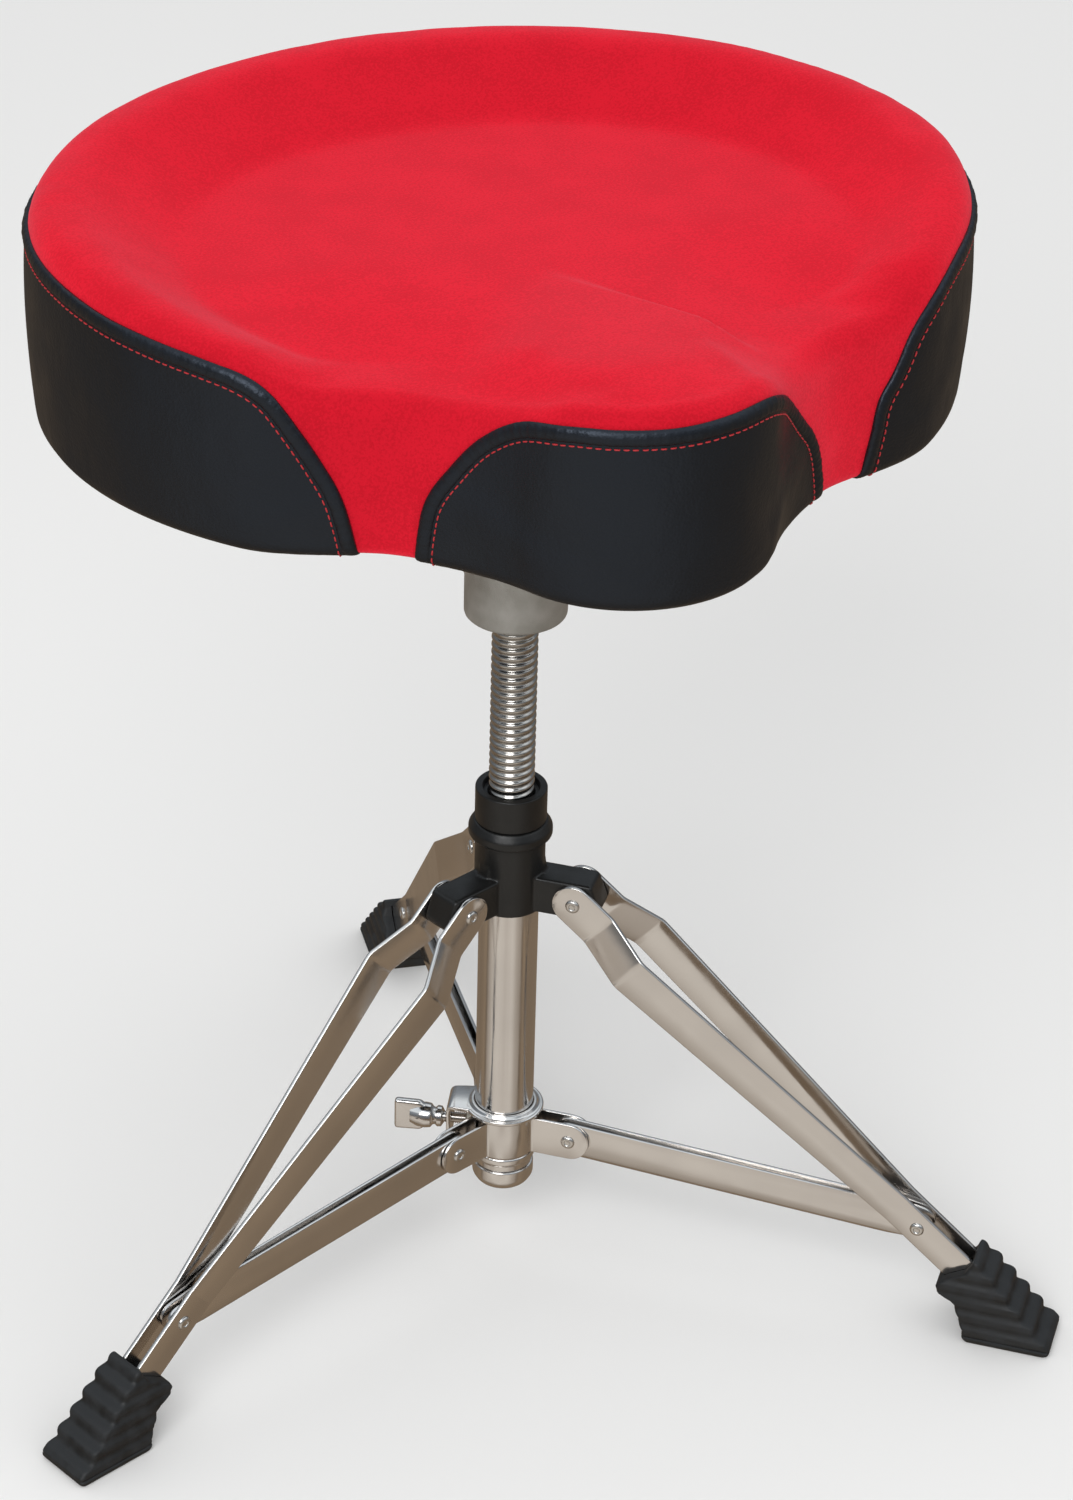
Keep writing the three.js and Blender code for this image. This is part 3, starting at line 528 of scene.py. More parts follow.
CHROME = metal("chrome_steel", (0.80, 0.775, 0.75), 0.10, 0.12, 0.22)
PLATED = metal("plated_steel", (0.72, 0.70, 0.67), 0.22, 0.12, 0.05)
THREADED = metal("thread_steel", (0.53, 0.51, 0.48), 0.16, 0.10, 0.02)
BLACK_CAST = black_paint()
GREY_CAST = grey_cast()
RUBBER = rubber()
VELOUR = velour()
VINYL = vinyl()
THREAD = thread()
DUST_CLOTH = dust_cloth()
PLYWOOD = plywood()
NYLON = nylon()

# ---------------------------------------------------------------- column


def build_tube():
    bead = heights("tube_end_cap")[1] + 0.2
    inner = TUBE_R - 2
    corners = [(inner, TUBE_BOTTOM), (TUBE_R, TUBE_BOTTOM), (TUBE_R, bead - 2.6)]
    corners += [(BEAD_R, bead - 1.6), (BEAD_R, bead + 1.6), (TUBE_R, bead + 2.6)]
    corners += [(TUBE_R, TUBE_TOP), (inner, TUBE_TOP)]
    tube = turned("base_tube_fine", filleted(corners, [0.3, 0.6, 1.5, 1.6, 1.6, 1.5, 0.3, 0.3]), 128)
    piece(tube, CHROME, "stand", "chrome_steel", "base_tube")


def build_end_cap():
    low, high = span("tube_end_cap")
    rim, bottom, top = high.x, low.z, high.z
    corners = [(0, bottom), (rim * 0.5, bottom), (rim * 0.84, bottom + 1.4), (rim, bottom + 5.5)]
    corners += [(rim, TUBE_BOTTOM - GAP), (TUBE_R - 2.4, TUBE_BOTTOM - GAP), (TUBE_R - 2.6, top), (0, top)]
    line = filleted(corners, [0, 2, 5, 5, 1.2, 0.3, 0.6, 0], closed=False)
    piece(turned("tube_end_cap_fine", line), CHROME, "stand", "chrome_steel", "tube_end_cap")


def build_hub():
    """The hub's barrel and ring, with a lug and a web for each leg, cast in one."""
    bore, barrel_r = TUBE_R + GAP, NUT_R - 0.3
    ring_r, ring_z = barrel_r + 3.3, HUB_TOP - 8.3
    corners = [(bore, HUB_BOTTOM), (barrel_r, HUB_BOTTOM), (barrel_r, ring_z - 1.2)]
    corners += [(barrel_r - 0.7, ring_z - 0.9), (barrel_r - 0.7, ring_z), (ring_r, ring_z)]
    corners += [(ring_r, HUB_TOP - 4), (ring_r - 2.6, HUB_TOP), (bore, HUB_TOP)]
    hub = turned("leg_hub_fine", filleted(corners, [0, 0.8, 0.2, 0, 0, 0.6, 2, 1, 0]))
    pivot_r, pivot_z = HUB_PIVOT
    root, low, high = bore + 0.4, pivot_z - 8.8, pivot_z + 10.5
    corners = [(root, low), (pivot_r + 8.4, low), (pivot_r + 12.9, pivot_z - 3.5)]
    lug = filleted([*corners, (pivot_r + 8, high), (root, high)], [0, 4, 3.5, 3, 0])
    web = [(root, pivot_z), (20, pivot_z), (17, pivot_z + 17), (root, pivot_z + 17)]
    for name in LEGS:
        for outline, half, edge in ((lug, 8.6, 1.2), (web, 3.5, 0.8)):
            part = side_prism("hub_part", outline, -half, half, edge)
            boolean(hub, moved(part, bearing(name)), "UNION")
    piece(cast(hub, 0.62, 5), BLACK_CAST, "stand", "black_casting", "leg_hub")


def build_nut():
    bore, low, step, top = ROD_R + GAP, TUBE_TOP + GAP, HUB_TOP + GAP, heights("height_nut")[1]
    corners = [(bore, low), (TUBE_R, low), (TUBE_R, step), (NUT_R, step), (NUT_R, top)]
    corners += [(NUT_R - 3.6, top), (NUT_R - 4.1, top - 3), (bore, top - 3)]
    nut = turned("height_nut_fine", filleted(corners, [0, 0.3, 0.2, 0.5, 1.1, 0.7, 0.3, 0.4]))
    piece(nut, BLACK_CAST, "stand", "black_casting", "height_nut")


def build_rod():
    """The rod with its round-crested thread as a helix, over a plain spigot where the guide sits."""
    pitch, depth, spigot = 4.0, 1.15, 6.0
    sides, per_turn = 40, 10
    low = heights("rod_guide")[1] + 1.3
    rows = int((ROD_TOP - low) / pitch * per_turn)
    rings = [ring(spigot, ROD_BOTTOM, sides), ring(spigot, low, sides)]
    for i in range(rows + 1):
        z = low + (ROD_TOP - low) * i / rows
        ease = min(1, (z - low) / 3, (ROD_TOP - z) / 2 + 0.15)
        row = []
        for k in range(sides):
            wave = 0.5 + 0.5 * math.cos(math.tau * (z / pitch - k / sides))
            r = ROD_R - 0.9 * (1 - ease) - depth * (1 - wave) ** 1.6 * ease
            row.append((r * math.cos(math.tau * k / sides), r * math.sin(math.tau * k / sides), z))
        rings.append(row)
    rod = stacked("threaded_rod_fine", rings)
    piece(rod, THREADED, "seat", "chrome_steel", "threaded_rod", smooth_angle=60)


# ---------------------------------------------------------------- legs and braces


def slope_frame(pivot, run):
    """X along a leg or a brace, Y sideways, at its upper pivot, within the leg's plane."""
    turn = Matrix.Rotation(math.atan2(-run.y, run.x), 4, "Y")
    return Matrix.Translation((pivot.x, 0, pivot.y)) @ turn


LEG_FRAME = slope_frame(HUB_PIVOT, LEG_RUN)
BRACE_FRAME = slope_frame(COLLAR_PIVOT, BRACE_RUN)
LEG_LENGTH = LEG_RUN.length
BRACE_LENGTH = BRACE_RUN.length
STRIP_T = 2.2
STRIP_HEAD, STRIP_TAIL = 10.25, 8.25  # half of a strip's width at the hub and at the foot
AT_HUB, AT_KNEE, AT_BRACE = 10.0, 20.0, 5.2  # a strip's distance from the middle of its leg
KNEE_X = 41.3
STRIP_PAST_BRACE = 37
SHANK_R, HEAD_R = 2.2, 3.5
CROSSWAYS = Matrix.Rotation(math.radians(-90), 4, "X")


def unit(t):
    return min(max(t, 0.0), 1.0)


def strip_half_width(at):
    if at.x < 0:
        return max(math.sqrt(max(STRIP_HEAD**2 - at.x**2, 0)), 0.9)
    return STRIP_HEAD + (STRIP_TAIL - STRIP_HEAD) * unit((at.x - KNEE_X) / (LEG_LENGTH - KNEE_X))


def strip_line(sign):
    """A strip in plan: parallel at the hub, bent out at the knee, back in at the brace."""
    corners = [(0, AT_HUB), (17.7, AT_HUB), (KNEE_X, AT_KNEE), (LEG_LENGTH - 14, AT_BRACE)]
    corners.append((LEG_LENGTH + STRIP_PAST_BRACE, AT_BRACE))
    head = [Vector((-STRIP_HEAD * math.cos(math.radians(a)), sign * AT_HUB)) for a in range(4, 90, 6)]
    return head + filleted([(x, sign * y) for x, y in corners], 9, 6, closed=False)


def rivet_head(reach):
    """Half of a rivet's profile: a low dome with a ring and a dimple in its middle."""
    dome = [(1, 0.35), (0.9, 0.8), (0.72, 1.2), (0.55, 1.3), (0.45, 1.15), (0.38, 0.75), (0.2, 0.6), (0, 0.6)]
    return [(SHANK_R, reach), (HEAD_R, reach)] + [(HEAD_R * share, reach + rise) for share, rise in dome]


def through_rivet(node, reach, matrix, body):
    head = rivet_head(reach)
    rivet = turned(f"{node}_fine", [(r, -z) for r, z in reversed(head)] + head, 36)
    piece(moved(rivet, matrix @ CROSSWAYS), PLATED, body, "plated_steel", node)


def build_leg(name):
    place = bearing(name).to_4x4() @ LEG_FRAME
    body = f"leg_{name}"
    inside, outside = AT_BRACE - STRIP_T / 2, AT_BRACE + STRIP_T / 2 + 0.05
    for letter, sign in (("a", 1), ("b", -1)):
        node = f"{name}_leg_strip_{letter}"
        strip = swept_strip(f"{node}_fine", strip_line(sign), STRIP_T, strip_half_width, 0.5)
        piece(moved(strip, place), CHROME, body, "chrome_steel", node)
        node = f"{name}_brace_rivet_{letter}"
        half = turned(f"{node}_fine", [(0, inside), (SHANK_R, inside)] + rivet_head(outside), 36)
        tip = Matrix.Translation((LEG_LENGTH, 0, 0)) @ Matrix.Rotation(math.radians(-90 * sign), 4, "X")
        piece(moved(half, place @ tip), PLATED, body, "plated_steel", node)
    through_rivet(f"{name}_hub_rivet", AT_HUB + STRIP_T / 2 + 0.05, place, body)


def build_brace(name):
    """A sheet folded into a channel, open at the top, with round ends at both pivots."""
    half, sheet, width, end_r = 3.1, 1.5, 9.5, 7.2
    high, hollow = width + 2, half - sheet
    corners = [(-half, high), (-half, -width), (half, -width), (half, high)]
    corners += [(hollow, high), (hollow, sheet - width), (-hollow, sheet - width), (-hollow, high)]
    section = filleted(corners, [0, 2.2, 2.2, 0, 0, 0.9, 0.9, 0])
    rings = [[(x, p.x, p.y) for p in section] for x in (-width - 1, BRACE_LENGTH + width)]
    channel = stacked(f"{name}_brace_fine", rings)
    taper = BRACE_LENGTH - 22
    outline = arc((0, 0), width, 90, 270, 20) + [(taper, -width)]
    outline += arc((BRACE_LENGTH, 0), end_r, -84, 84, 16) + [(taper, width)]
    boolean(channel, side_prism("mask", outline, -half - 1, half + 1, 0.1), "INTERSECT")
    bevelled(channel, 0.3, 40)
    moved(applied(channel), bearing(name).to_4x4() @ BRACE_FRAME)
    piece(channel, CHROME, f"brace_{name}", "chrome_steel", f"{name}_brace")


# ---------------------------------------------------------------- collar and wing screw

STRAP_R = TUBE_R + 1.2  # middle of the strap's sheet
STRAP_T = 1.6
EAR_OFFSET = 4.3
EAR_R = 10.2
ALONG_X = Matrix.Rotation(math.radians(90), 4, "Y")


def wing_frame():
    """X outward along the wing screw, at its height."""
    out = Vector(joint("wing_turn")["axis"])
    turn = Matrix((out, UP.cross(out), UP)).transposed()
    return Matrix.Translation((0, 0, middle("wing_screw_pad").z)) @ turn.to_4x4()


WING_FRAME = wing_frame()


def along_wing(thing):
    return moved(thing, WING_FRAME @ ALONG_X)


def cylinder(radius, low, high, segments):
    return turned("cylinder", [(0, low), (radius, low), (radius, high), (0, high)], segments)


def strap_line():
    """Half of a collar strap in plan, from the end of its ear to the middle of its arc."""
    pivot = COLLAR_PIVOT.x
    ear = [Vector((pivot + EAR_R * math.cos(math.radians(a)), EAR_OFFSET)) for a in range(5, 90, 7)]
    bend = 2.6
    centre = Vector((math.sqrt((STRAP_R + bend) ** 2 - (EAR_OFFSET + bend) ** 2), EAR_OFFSET + bend))
    meets = math.degrees(math.atan2(centre.y, centre.x))
    return ear + arc(centre, bend, -90, meets - 180, 6) + arc((0, 0), STRAP_R, meets, 60, 12)[1:]


def ear_half_height(at):
    """Half of a strap's height: level round the tube, and round at the ear's end."""
    beyond = min(at.length - math.hypot(COLLAR_PIVOT.x, EAR_OFFSET), EAR_R - 0.05)
    return math.sqrt(EAR_R**2 - max(beyond, 0) ** 2)


def build_strap(name):
    half = strap_line()
    flip = Matrix.Rotation(math.radians(120), 2) @ Matrix(((1, 0), (0, -1)))
    line = half + [flip @ p for p in reversed(half[:-1])]
    strap = swept_strip(f"{name}_collar_strap_fine", line, STRAP_T, ear_half_height, 0.4)
    moved(strap, Matrix.Translation((0, 0, COLLAR_PIVOT.y)) @ bearing(name).to_4x4())
    if name == "rear":
        boolean(strap, along_wing(cylinder(4.3, 5, 30, 32)), "DIFFERENCE")
    piece(strap, CHROME, "collar", "chrome_steel", f"{name}_collar_strap")
    place = bearing(name).to_4x4() @ Matrix.Translation((COLLAR_PIVOT.x, 0, COLLAR_PIVOT.y))
    through_rivet(f"{name}_collar_rivet", EAR_OFFSET + STRAP_T / 2 + 0.05, place, "collar")


def build_collar_plate():
    """A dished ring over the straps, with a tab folded down that holds the wing screw."""
    drop, lip = heights("collar_plate")
    sheet = 2.2
    top = lip - 1.6
    under = top - sheet
    inner, outer = TUBE_R + 0.4, TUBE_R + 5.2
    corners = [(inner, under), (outer, under), (outer, top), (inner + 2.6, top - 0.2)]
    corners += [(inner + 1.3, lip), (inner, lip)]
    plate = turned("collar_plate_fine", filleted(corners, [0.3, 0.8, 0.9, 1.4, 0.7, 0.3]))
    reach, half, level = 26.9, 8.6, under + sheet / 2
    fold = filleted([(inner + 0.3, level), (reach, level), (reach, drop)], 2.4, 6, closed=False)
    path = [fold[0].lerp(fold[1], k / 6) for k in range(6)] + fold[1:-1]
    path += [fold[-2].lerp(fold[-1], k / 8) for k in range(1, 9)]

    def tab_half(at):
        if at.y > under - 1:
            return half + 1.9 * unit((reach - at.x) / 11) ** 0.5
        return half - 2.2 * max(0, 1 - (at.y - drop) / 2.5) ** 2

    tab = moved(swept_strip("tab", path, sheet, tab_half, 0.5), WING_FRAME.to_3x3() @ SIDE_VIEW)
    boolean(tab, along_wing(cylinder(3.3, 20, 34, 24)), "DIFFERENCE")
    boolean(plate, tab, "UNION")
    piece(plate, CHROME, "collar", "chrome_steel", "collar_plate")


def build_wing_screw():
    """A cast wing screw: threaded shank, waisted hub and two flat wings, along X."""
    start, turns, pitch = 19, 11, 1.0
    profile = [(0, start - 0.5), (2.6, start - 0.5)]
    for k in range(turns):
        profile += [(3.0, start + k * pitch), (2.5, start + (k + 0.5) * pitch)]
    profile += [(5.2, 31.2), (5.4, 33.2), (4.3, 34.4), (4.6, 35.4), (6.1, 36.6), (6.5, 39.5)]
    profile += [(6.0, 43.5), (4.4, 47), (0, 47.8)]
    screw = along_wing(turned("wing_screw_fine", profile, 48))
    corners = [(37, -4.6), (42, -8.4), (55, -8.6), (55, 8.6), (42, 8.4), (37, 4.6)]
    wings = side_prism("wings", filleted(corners, [1, 4, 1.8, 1.8, 4, 1]), -2.1, 2.1, 1.3)
    boolean(screw, moved(wings, WING_FRAME), "UNION")
    piece(screw, CHROME, "wing", "chrome_steel", "wing_screw")
    carried("wing_screw_pad", NYLON, 0.3)


# ---------------------------------------------------------------- feet

FOOT_TOP = heights("left_foot")[1]
TOE, HEEL, TOE_Z = 281.5, 245.5, 6.0  # ends of the slanted outer face
CRESTS, CREST_DEPTH = 5, 1.15
SLICE = 0.45


def outer_face():
    """Round crests up the slanted outer face, as heights and reaches."""
    start, end = Vector((TOE - 1.1, TOE_Z)), Vector((HEEL - 1.1, FOOT_TOP))
    run = (end - start).normalized()
    proud = Vector((run.y, -run.x))
    line = [start + proud * CREST_DEPTH - run * 3]
    steps = CRESTS * 16
    for k in range(steps + 1):
        wave = CREST_DEPTH * math.cos(math.tau * CRESTS * k / steps)
        line.append(start.lerp(end, k / steps) + proud * wave)
    return [p.y for p in line], [p.x for p in line]


def inner_face():
    """The inner face with its step under the leg, as heights and reaches."""
    knots = [(0, 241.2), (2, 240), (5.5, 239.2), (12, 236.9), (19, 234.2), (22, 231.8), (24.5, 225.4)]
    knots += [(28, 224.6), (30.7, 226), (34.5, 232), (38, 238), (41.5, 240.3), (FOOT_TOP, 241.8)]
    return zip(*knots)


def foot_slice(z, outer_knots, inner_knots):
    """The foot's section at height z: grooves on its sides, pinched at the floor and at its top."""
    floor_edge = max(0, 1 - z / 2.5) ** 2
    cuff = max(0, (z - FOOT_TOP + 4) / 4) ** 2
    outer = float(np.interp(z, *outer_knots)) - 1.6 * floor_edge - 2.2 * cuff
    inner = float(np.interp(z, *inner_knots))
    if z < 22:
        inner += 0.9 * (1 - abs(math.cos(math.pi * (z - 9.5) / 7.0)) ** 0.8) * unit((z - 1) / 4)
    phase = (z - TOE_Z) / (FOOT_TOP - TOE_Z) * CRESTS
    groove = (0.5 - 0.5 * math.cos(math.tau * phase)) ** 1.6 if z > 3 else 0
    half = 16 - 4.5 * min(z / FOOT_TOP, 1) - groove - 1.2 * floor_edge - 1.5 * cuff
    depth, centre = outer - inner, (outer + inner) / 2
    plan = rounded_section(depth / 2, half, min(2.2, depth * 0.45), 5)
    return depth, [(p.x + centre, p.y, z) for p in plan]


def build_foot(name):
    """A rubber foot from level slices, with a socket for the leg's strips."""
    faces = outer_face(), tuple(inner_face())
    rings = []
    for k in range(int(FOOT_TOP / SLICE) + 1):
        depth, plan = foot_slice(k * SLICE, *faces)
        if depth < 1.2:
            break
        rings.append(plan)
    foot = stacked(f"{name}_foot_fine", rings)
    half, tall, deep = AT_BRACE + STRIP_T / 2 + GAP, STRIP_TAIL + GAP, STRIP_PAST_BRACE + GAP
    corners = [(0, -tall), (deep, -tall), (deep, tall), (0, tall)]
    socket = side_prism("socket", corners, -half, half, 0.3)
    boolean(foot, moved(socket, slope_frame(BRACE_PIVOT, LEG_RUN)), "DIFFERENCE")
    moved(foot, bearing(name))
    piece(foot, RUBBER, f"leg_{name}", "foot_rubber", f"{name}_foot", smooth_angle=50)


# ---------------------------------------------------------------- seat mount


def build_mount():
    """The grey casting: a split barrel, its clamp lugs, four ribs and a square plate."""
    reach = span("seat_mount")[1].x
    plate_low = MOUNT_TOP - 6
    bore_r, barrel_r, barrel_top = ROD_R + GAP, 24.2, plate_low + 2
    corners = [(bore_r, MOUNT_BOTTOM), (barrel_r, MOUNT_BOTTOM), (barrel_r, barrel_top), (bore_r, barrel_top)]
    mount = turned("seat_mount_fine", filleted(corners, [0.8, 1.8, 0.5, 0.5]))
    square = [(-reach, -reach), (reach, -reach), (reach, reach), (-reach, reach)]
    boolean(mount, prism("plate", filleted(square, 18, 8), plate_low, MOUNT_TOP, 1.0), "UNION")
    root, tip, low, high = barrel_r - 4, reach - 4, plate_low - 42, plate_low + 1
    rib = [(root, low), (barrel_r + 2, low), (tip, plate_low - 4), (tip, high), (root, high)]
    for k in range(4):
        turn = Matrix.Rotation(math.radians(90 * k), 4, "Z")
        boolean(mount, moved(side_prism("rib", rib, -3, 3, 1.0), turn), "UNION")
    bolt = middle("clamp_bolt")
    across = Vector((bolt.x, bolt.y, 0)).normalized()
    clamp = Matrix((across, UP.cross(across), UP)).transposed()
    lug_r, inside = 11, 18
    lug = arc((35, bolt.z), lug_r, -90, 90, 12) + [(inside, bolt.z + lug_r), (inside, bolt.z - lug_r)]
    boolean(mount, moved(side_prism("lugs", lug, -11, 11, 1.2), clamp), "UNION")
    near, far, low, high = 12, 55, MOUNT_BOTTOM - 9, bolt.z + 21
    slit = side_prism("slit", [(near, low), (far, low), (far, high), (near, high)], -1.3, 1.3, 0.1)
    boolean(mount, moved(slit, clamp), "DIFFERENCE")
    boolean(mount, cylinder(bore_r, MOUNT_BOTTOM, ROD_TOP + 3, 64), "DIFFERENCE")
    piece(cast(mount, 0.8, 3), GREY_CAST, "seat", "grey_casting", "seat_mount")
    for node in ("clamp_bolt", "clamp_nut"):
        carried(node, PLATED, 0.4)


# ---------------------------------------------------------------- the seat's form

PLAN_POINTS = 600
HEM_R = 5.5
RIM_R = 10.0
CORNER = HEM_R * math.pi / 2  # way up the wall round its bottom corner
BULGE = 2.0
TUCKED_IN = 1.4
DISH_DEPTH = 22.0
THIGH_DEPTH = 7.5
NOSE_RISE = 12.0


def smooth(t):
    t = unit(t)
    return t * t * (3 - 2 * t)


def distances(line):
    """Distance along a line at each of its points."""
    steps = np.linalg.norm(np.diff(line, axis=0), axis=1)
    return np.concatenate([[0], np.cumsum(steps)])


def read_at(line, marks, places):
    """Points of a line at places along it, its own points being at the marks."""
    return np.stack([np.interp(places, marks, line[:, k]) for k in (0, 1)], 1)


def bezier(a, b, c, d, steps=16):
    """A curve from a to d, without its last point."""
    out = []
    for k in range(steps):
        t = k / steps
        out.append(a * (1 - t) ** 3 + b * 3 * t * (1 - t) ** 2 + c * 3 * t * t * (1 - t) + d * t**3)
    return out


def seat_plan():
    """The seat's outline, anticlockwise from the nose's tip, as evenly spaced points."""
    low, high = span("rear_panel")
    half_width, half_depth = (high.x - low.x) / 2 - 3.0, 182.0
    centre_y = high.y + 1.0 - half_depth
    nose_r, tip_angle = 65.0, 30.5
    nose_y = span("nose_panel")[0].y + 5.0 + nose_r
    share = 0.753  # where the front curve meets the ellipse behind, as a share of the half width
    join = Vector((half_width * share, centre_y - half_depth * math.sqrt(1 - share**2)))
    notch = Vector((104, centre_y - 146))
    half = arc((0, nose_y), nose_r, -90, -tip_angle, 20)
    tip = half.pop()
    half += bezier(tip, tip + Vector((10, 17)), notch - Vector((14, 6.6)), notch)
    half += bezier(notch, notch + Vector((16, 7.5)), join - Vector((15, 14.6)), join)
    start = math.atan2(-math.sqrt(1 - share**2), share)
    for k in range(61):
        a = start + (math.pi / 2 - start) * k / 60
        half.append(Vector((half_width * math.cos(a), centre_y + half_depth * math.sin(a))))
    loop = half + [Vector((-p.x, p.y)) for p in reversed(half[1:-1])]
    line = np.array([tuple(p) for p in loop + loop[:1]])
    marks = distances(line)
    return read_at(line, marks, np.linspace(0, marks[-1], PLAN_POINTS + 1)[:-1]), marks[-1]


PLAN, GIRTH = seat_plan()
PLAN_STEP = GIRTH / PLAN_POINTS
WIDEST = float(PLAN[:, 0].max())
CENTRE = np.array([0.0, 10.0])
RUN = np.roll(PLAN, -1, 0) - np.roll(PLAN, 1, 0)
RUN /= np.linalg.norm(RUN, axis=1)[:, None]
OUT = np.stack([RUN[:, 1], -RUN[:, 0]], 1)


def around(values, u):
    """Values given at the plan's points, read at distance u along the outline."""
    i = (u / PLAN_STEP) % PLAN_POINTS
    low = int(i)
    share = i - low
    return values[low] * (1 - share) + values[(low + 1) % PLAN_POINTS] * share


def distance_at_x(x):
    """Distance along the outline from the nose's tip to the place x on its front, on either side."""
    half = PLAN[: PLAN_POINTS // 2]
    widest = int(np.argmax(half[:, 0]))
    u = float(np.interp(abs(x), half[: widest + 1, 0], np.arange(widest + 1) * PLAN_STEP))
    return u if x >= 0 else GIRTH - u


def eased_round(tip, front, behind):
    """A value round the outline, the same on both sides, eased between knots.

    The knots are the value at the nose's tip, (x, value) on the front, and (distance past the widest
    place, value) behind it. The last knot behind is at the middle of the back.
    """
    side = distance_at_x(WIDEST - 0.5)
    knots = [(0, tip)] + [(distance_at_x(x), value) for x, value in front]
    knots += [(side + past, value) for past, value in behind[:-1]] + [(GIRTH / 2, behind[-1][1])]
    at, value = zip(*knots)
    every = np.arange(PLAN_POINTS) * PLAN_STEP
    values = np.interp(np.minimum(every, GIRTH - every), at, value)
    reach = int(16 / PLAN_STEP)
    window = np.hanning(2 * reach + 1)
    wrapped = np.concatenate([values[-reach:], values, values[:reach]])
    return np.convolve(wrapped, window / window.sum(), "valid")


BACK = None  # stands for the middle of the back in a list of knots
THIGHS = [(48, 12), (68, 23), (84, 26.5), (132, 26), (148, 19.5), (164, 11.5), (200, 4)]
# Height of the rim's crest round the seat: level behind, lower over the thighs and the nose.
RIM = SEAT_TOP - eased_round(11, THIGHS, [(0, 0), (150, -3), (BACK, -4)])
SLOPES = [(62, 44), (104, 30), (156, 30), (200, 40)]
# How far inside the rim the slope down into the dish ends: short over the thighs, long behind.
REACH = eased_round(55, SLOPES, [(0, 50), (80, 57), (150, 60), (BACK, 62)])


def wall_profile(s, crest):
    """(inset, height) at distance s up the wall from the start of the bottom corner."""
    straight = crest - SEAT_BOTTOM - HEM_R - RIM_R
    if s <= 0:
        inset, z = HEM_R - s, SEAT_BOTTOM
    elif s < CORNER:
        a = s / HEM_R
        inset, z = HEM_R * (1 - math.sin(a)), SEAT_BOTTOM + HEM_R * (1 - math.cos(a))
    elif s < CORNER + straight:
        inset, z = 0, SEAT_BOTTOM + HEM_R + s - CORNER
    else:
        a = min((s - CORNER - straight) / RIM_R, math.pi / 2)
        inset, z = RIM_R * (1 - math.cos(a)), crest - RIM_R * (1 - math.sin(a))
    share = (z - SEAT_BOTTOM) / (crest - SEAT_BOTTOM)
    return inset - BULGE * math.sin(math.pi * share) ** 1.2 + TUCKED_IN * (1 - share) ** 2, z


def rise_to(z, crest):
    """Distance up the wall at which it reaches height z."""
    if z < SEAT_BOTTOM + HEM_R:
        return CORNER * (z - SEAT_BOTTOM) / HEM_R
    straight = min(z, crest - RIM_R) - SEAT_BOTTOM - HEM_R
    return CORNER + straight + RIM_R * math.asin(unit((z - crest + RIM_R) / RIM_R))


def skin(u, s, lift=0.0):
    """A point on the seat's wall: u round the outline, s up the wall, lifted off it by lift."""
    at, out, crest = around(PLAN, u), around(OUT, u), float(around(RIM, u))
    inset, z = wall_profile(s, crest)
    more, higher = wall_profile(s + 0.5, crest)
    normal = Vector((higher - z, more - inset)).normalized()
    spread = -inset + normal.x * lift
    return Vector((at[0] + out[0] * spread, at[1] + out[1] * spread, z + normal.y * lift))


def saddle_height(x, y):
    """Height of the seat's middle: a dish with a creased, raised nose between two thigh channels."""
    thigh = math.exp(-(((abs(x) - 100) / 48) ** 2)) * smooth((10 - y) / 110)
    tip, run = Vector((-2, -28)), Vector((78, -122)).normalized()
    inside = (Vector((abs(x), y)) - tip).cross(run)
    ramp = unit((tip.y - y) / 125)
    fold = 9 + 30 * smooth(-x / 25)
    return SEAT_TOP - DISH_DEPTH - THIGH_DEPTH * thigh + NOSE_RISE * ramp * smooth(inside / fold + 0.55)


def slope_share(a):
    """How far down into the dish the slope is at share a of its reach: round, straight, then a knee."""
    crest, knee = 0.35, 0.09
    steep = 2 / (2 - crest)
    if a < crest:
        return steep * a * a / (2 * crest)
    if a < 1 - knee:
        return 1 - steep * (1 - a)
    return 1 - steep * max(1 + knee - a, 0) ** 2 / (4 * knee)


def top_point(i, t):
    """A point on the seat's top, from the rim's crest (t = 0) to its middle (t = 1)."""
    edge = PLAN[i] - OUT[i] * wall_profile(1e3, RIM[i])[0]
    at = edge * (1 - t) + CENTRE * t
    blend = slope_share(np.linalg.norm(at - edge) / REACH[i])
    return Vector((at[0], at[1], RIM[i] * (1 - blend) + saddle_height(*at) * blend))


# ---------------------------------------------------------------- cushion

WALL_ROWS, TOP_ROWS = 40, 56
SWELL_CAP = 7.0
SWELL_SHARE = 0.26
SWELL = []


def cushion_rows():
    """Rings of the cushion's surface, from the recess over the board, round the wall, to the top."""
    ceiling = heights("seat_board")[1] + 0.5
    lip, under = 13.0, 4.5
    rows = []
    for inset, z in ((lip + 20, ceiling), (lip + 1, ceiling), (lip, ceiling - 1), (lip, SEAT_BOTTOM + 1)):
        rows.append([Vector((*at, z)) for at in PLAN - OUT * inset])
    tops = [rise_to(crest, crest) for crest in RIM]
    for k in range(WALL_ROWS + 1):
        share = k / WALL_ROWS
        rows.append([skin(i * PLAN_STEP, (top + under) * share - under) for i, top in enumerate(tops)])
    for k in range(1, TOP_ROWS):
        rows.append([top_point(i, (k / TOP_ROWS) ** 1.35) for i in range(PLAN_POINTS)])
    return rows


def vertex_array(mesh, what="co"):
    values = np.zeros(len(mesh.vertices) * 3)
    mesh.vertices.foreach_get(what, values)
    return values.reshape(-1, 3)


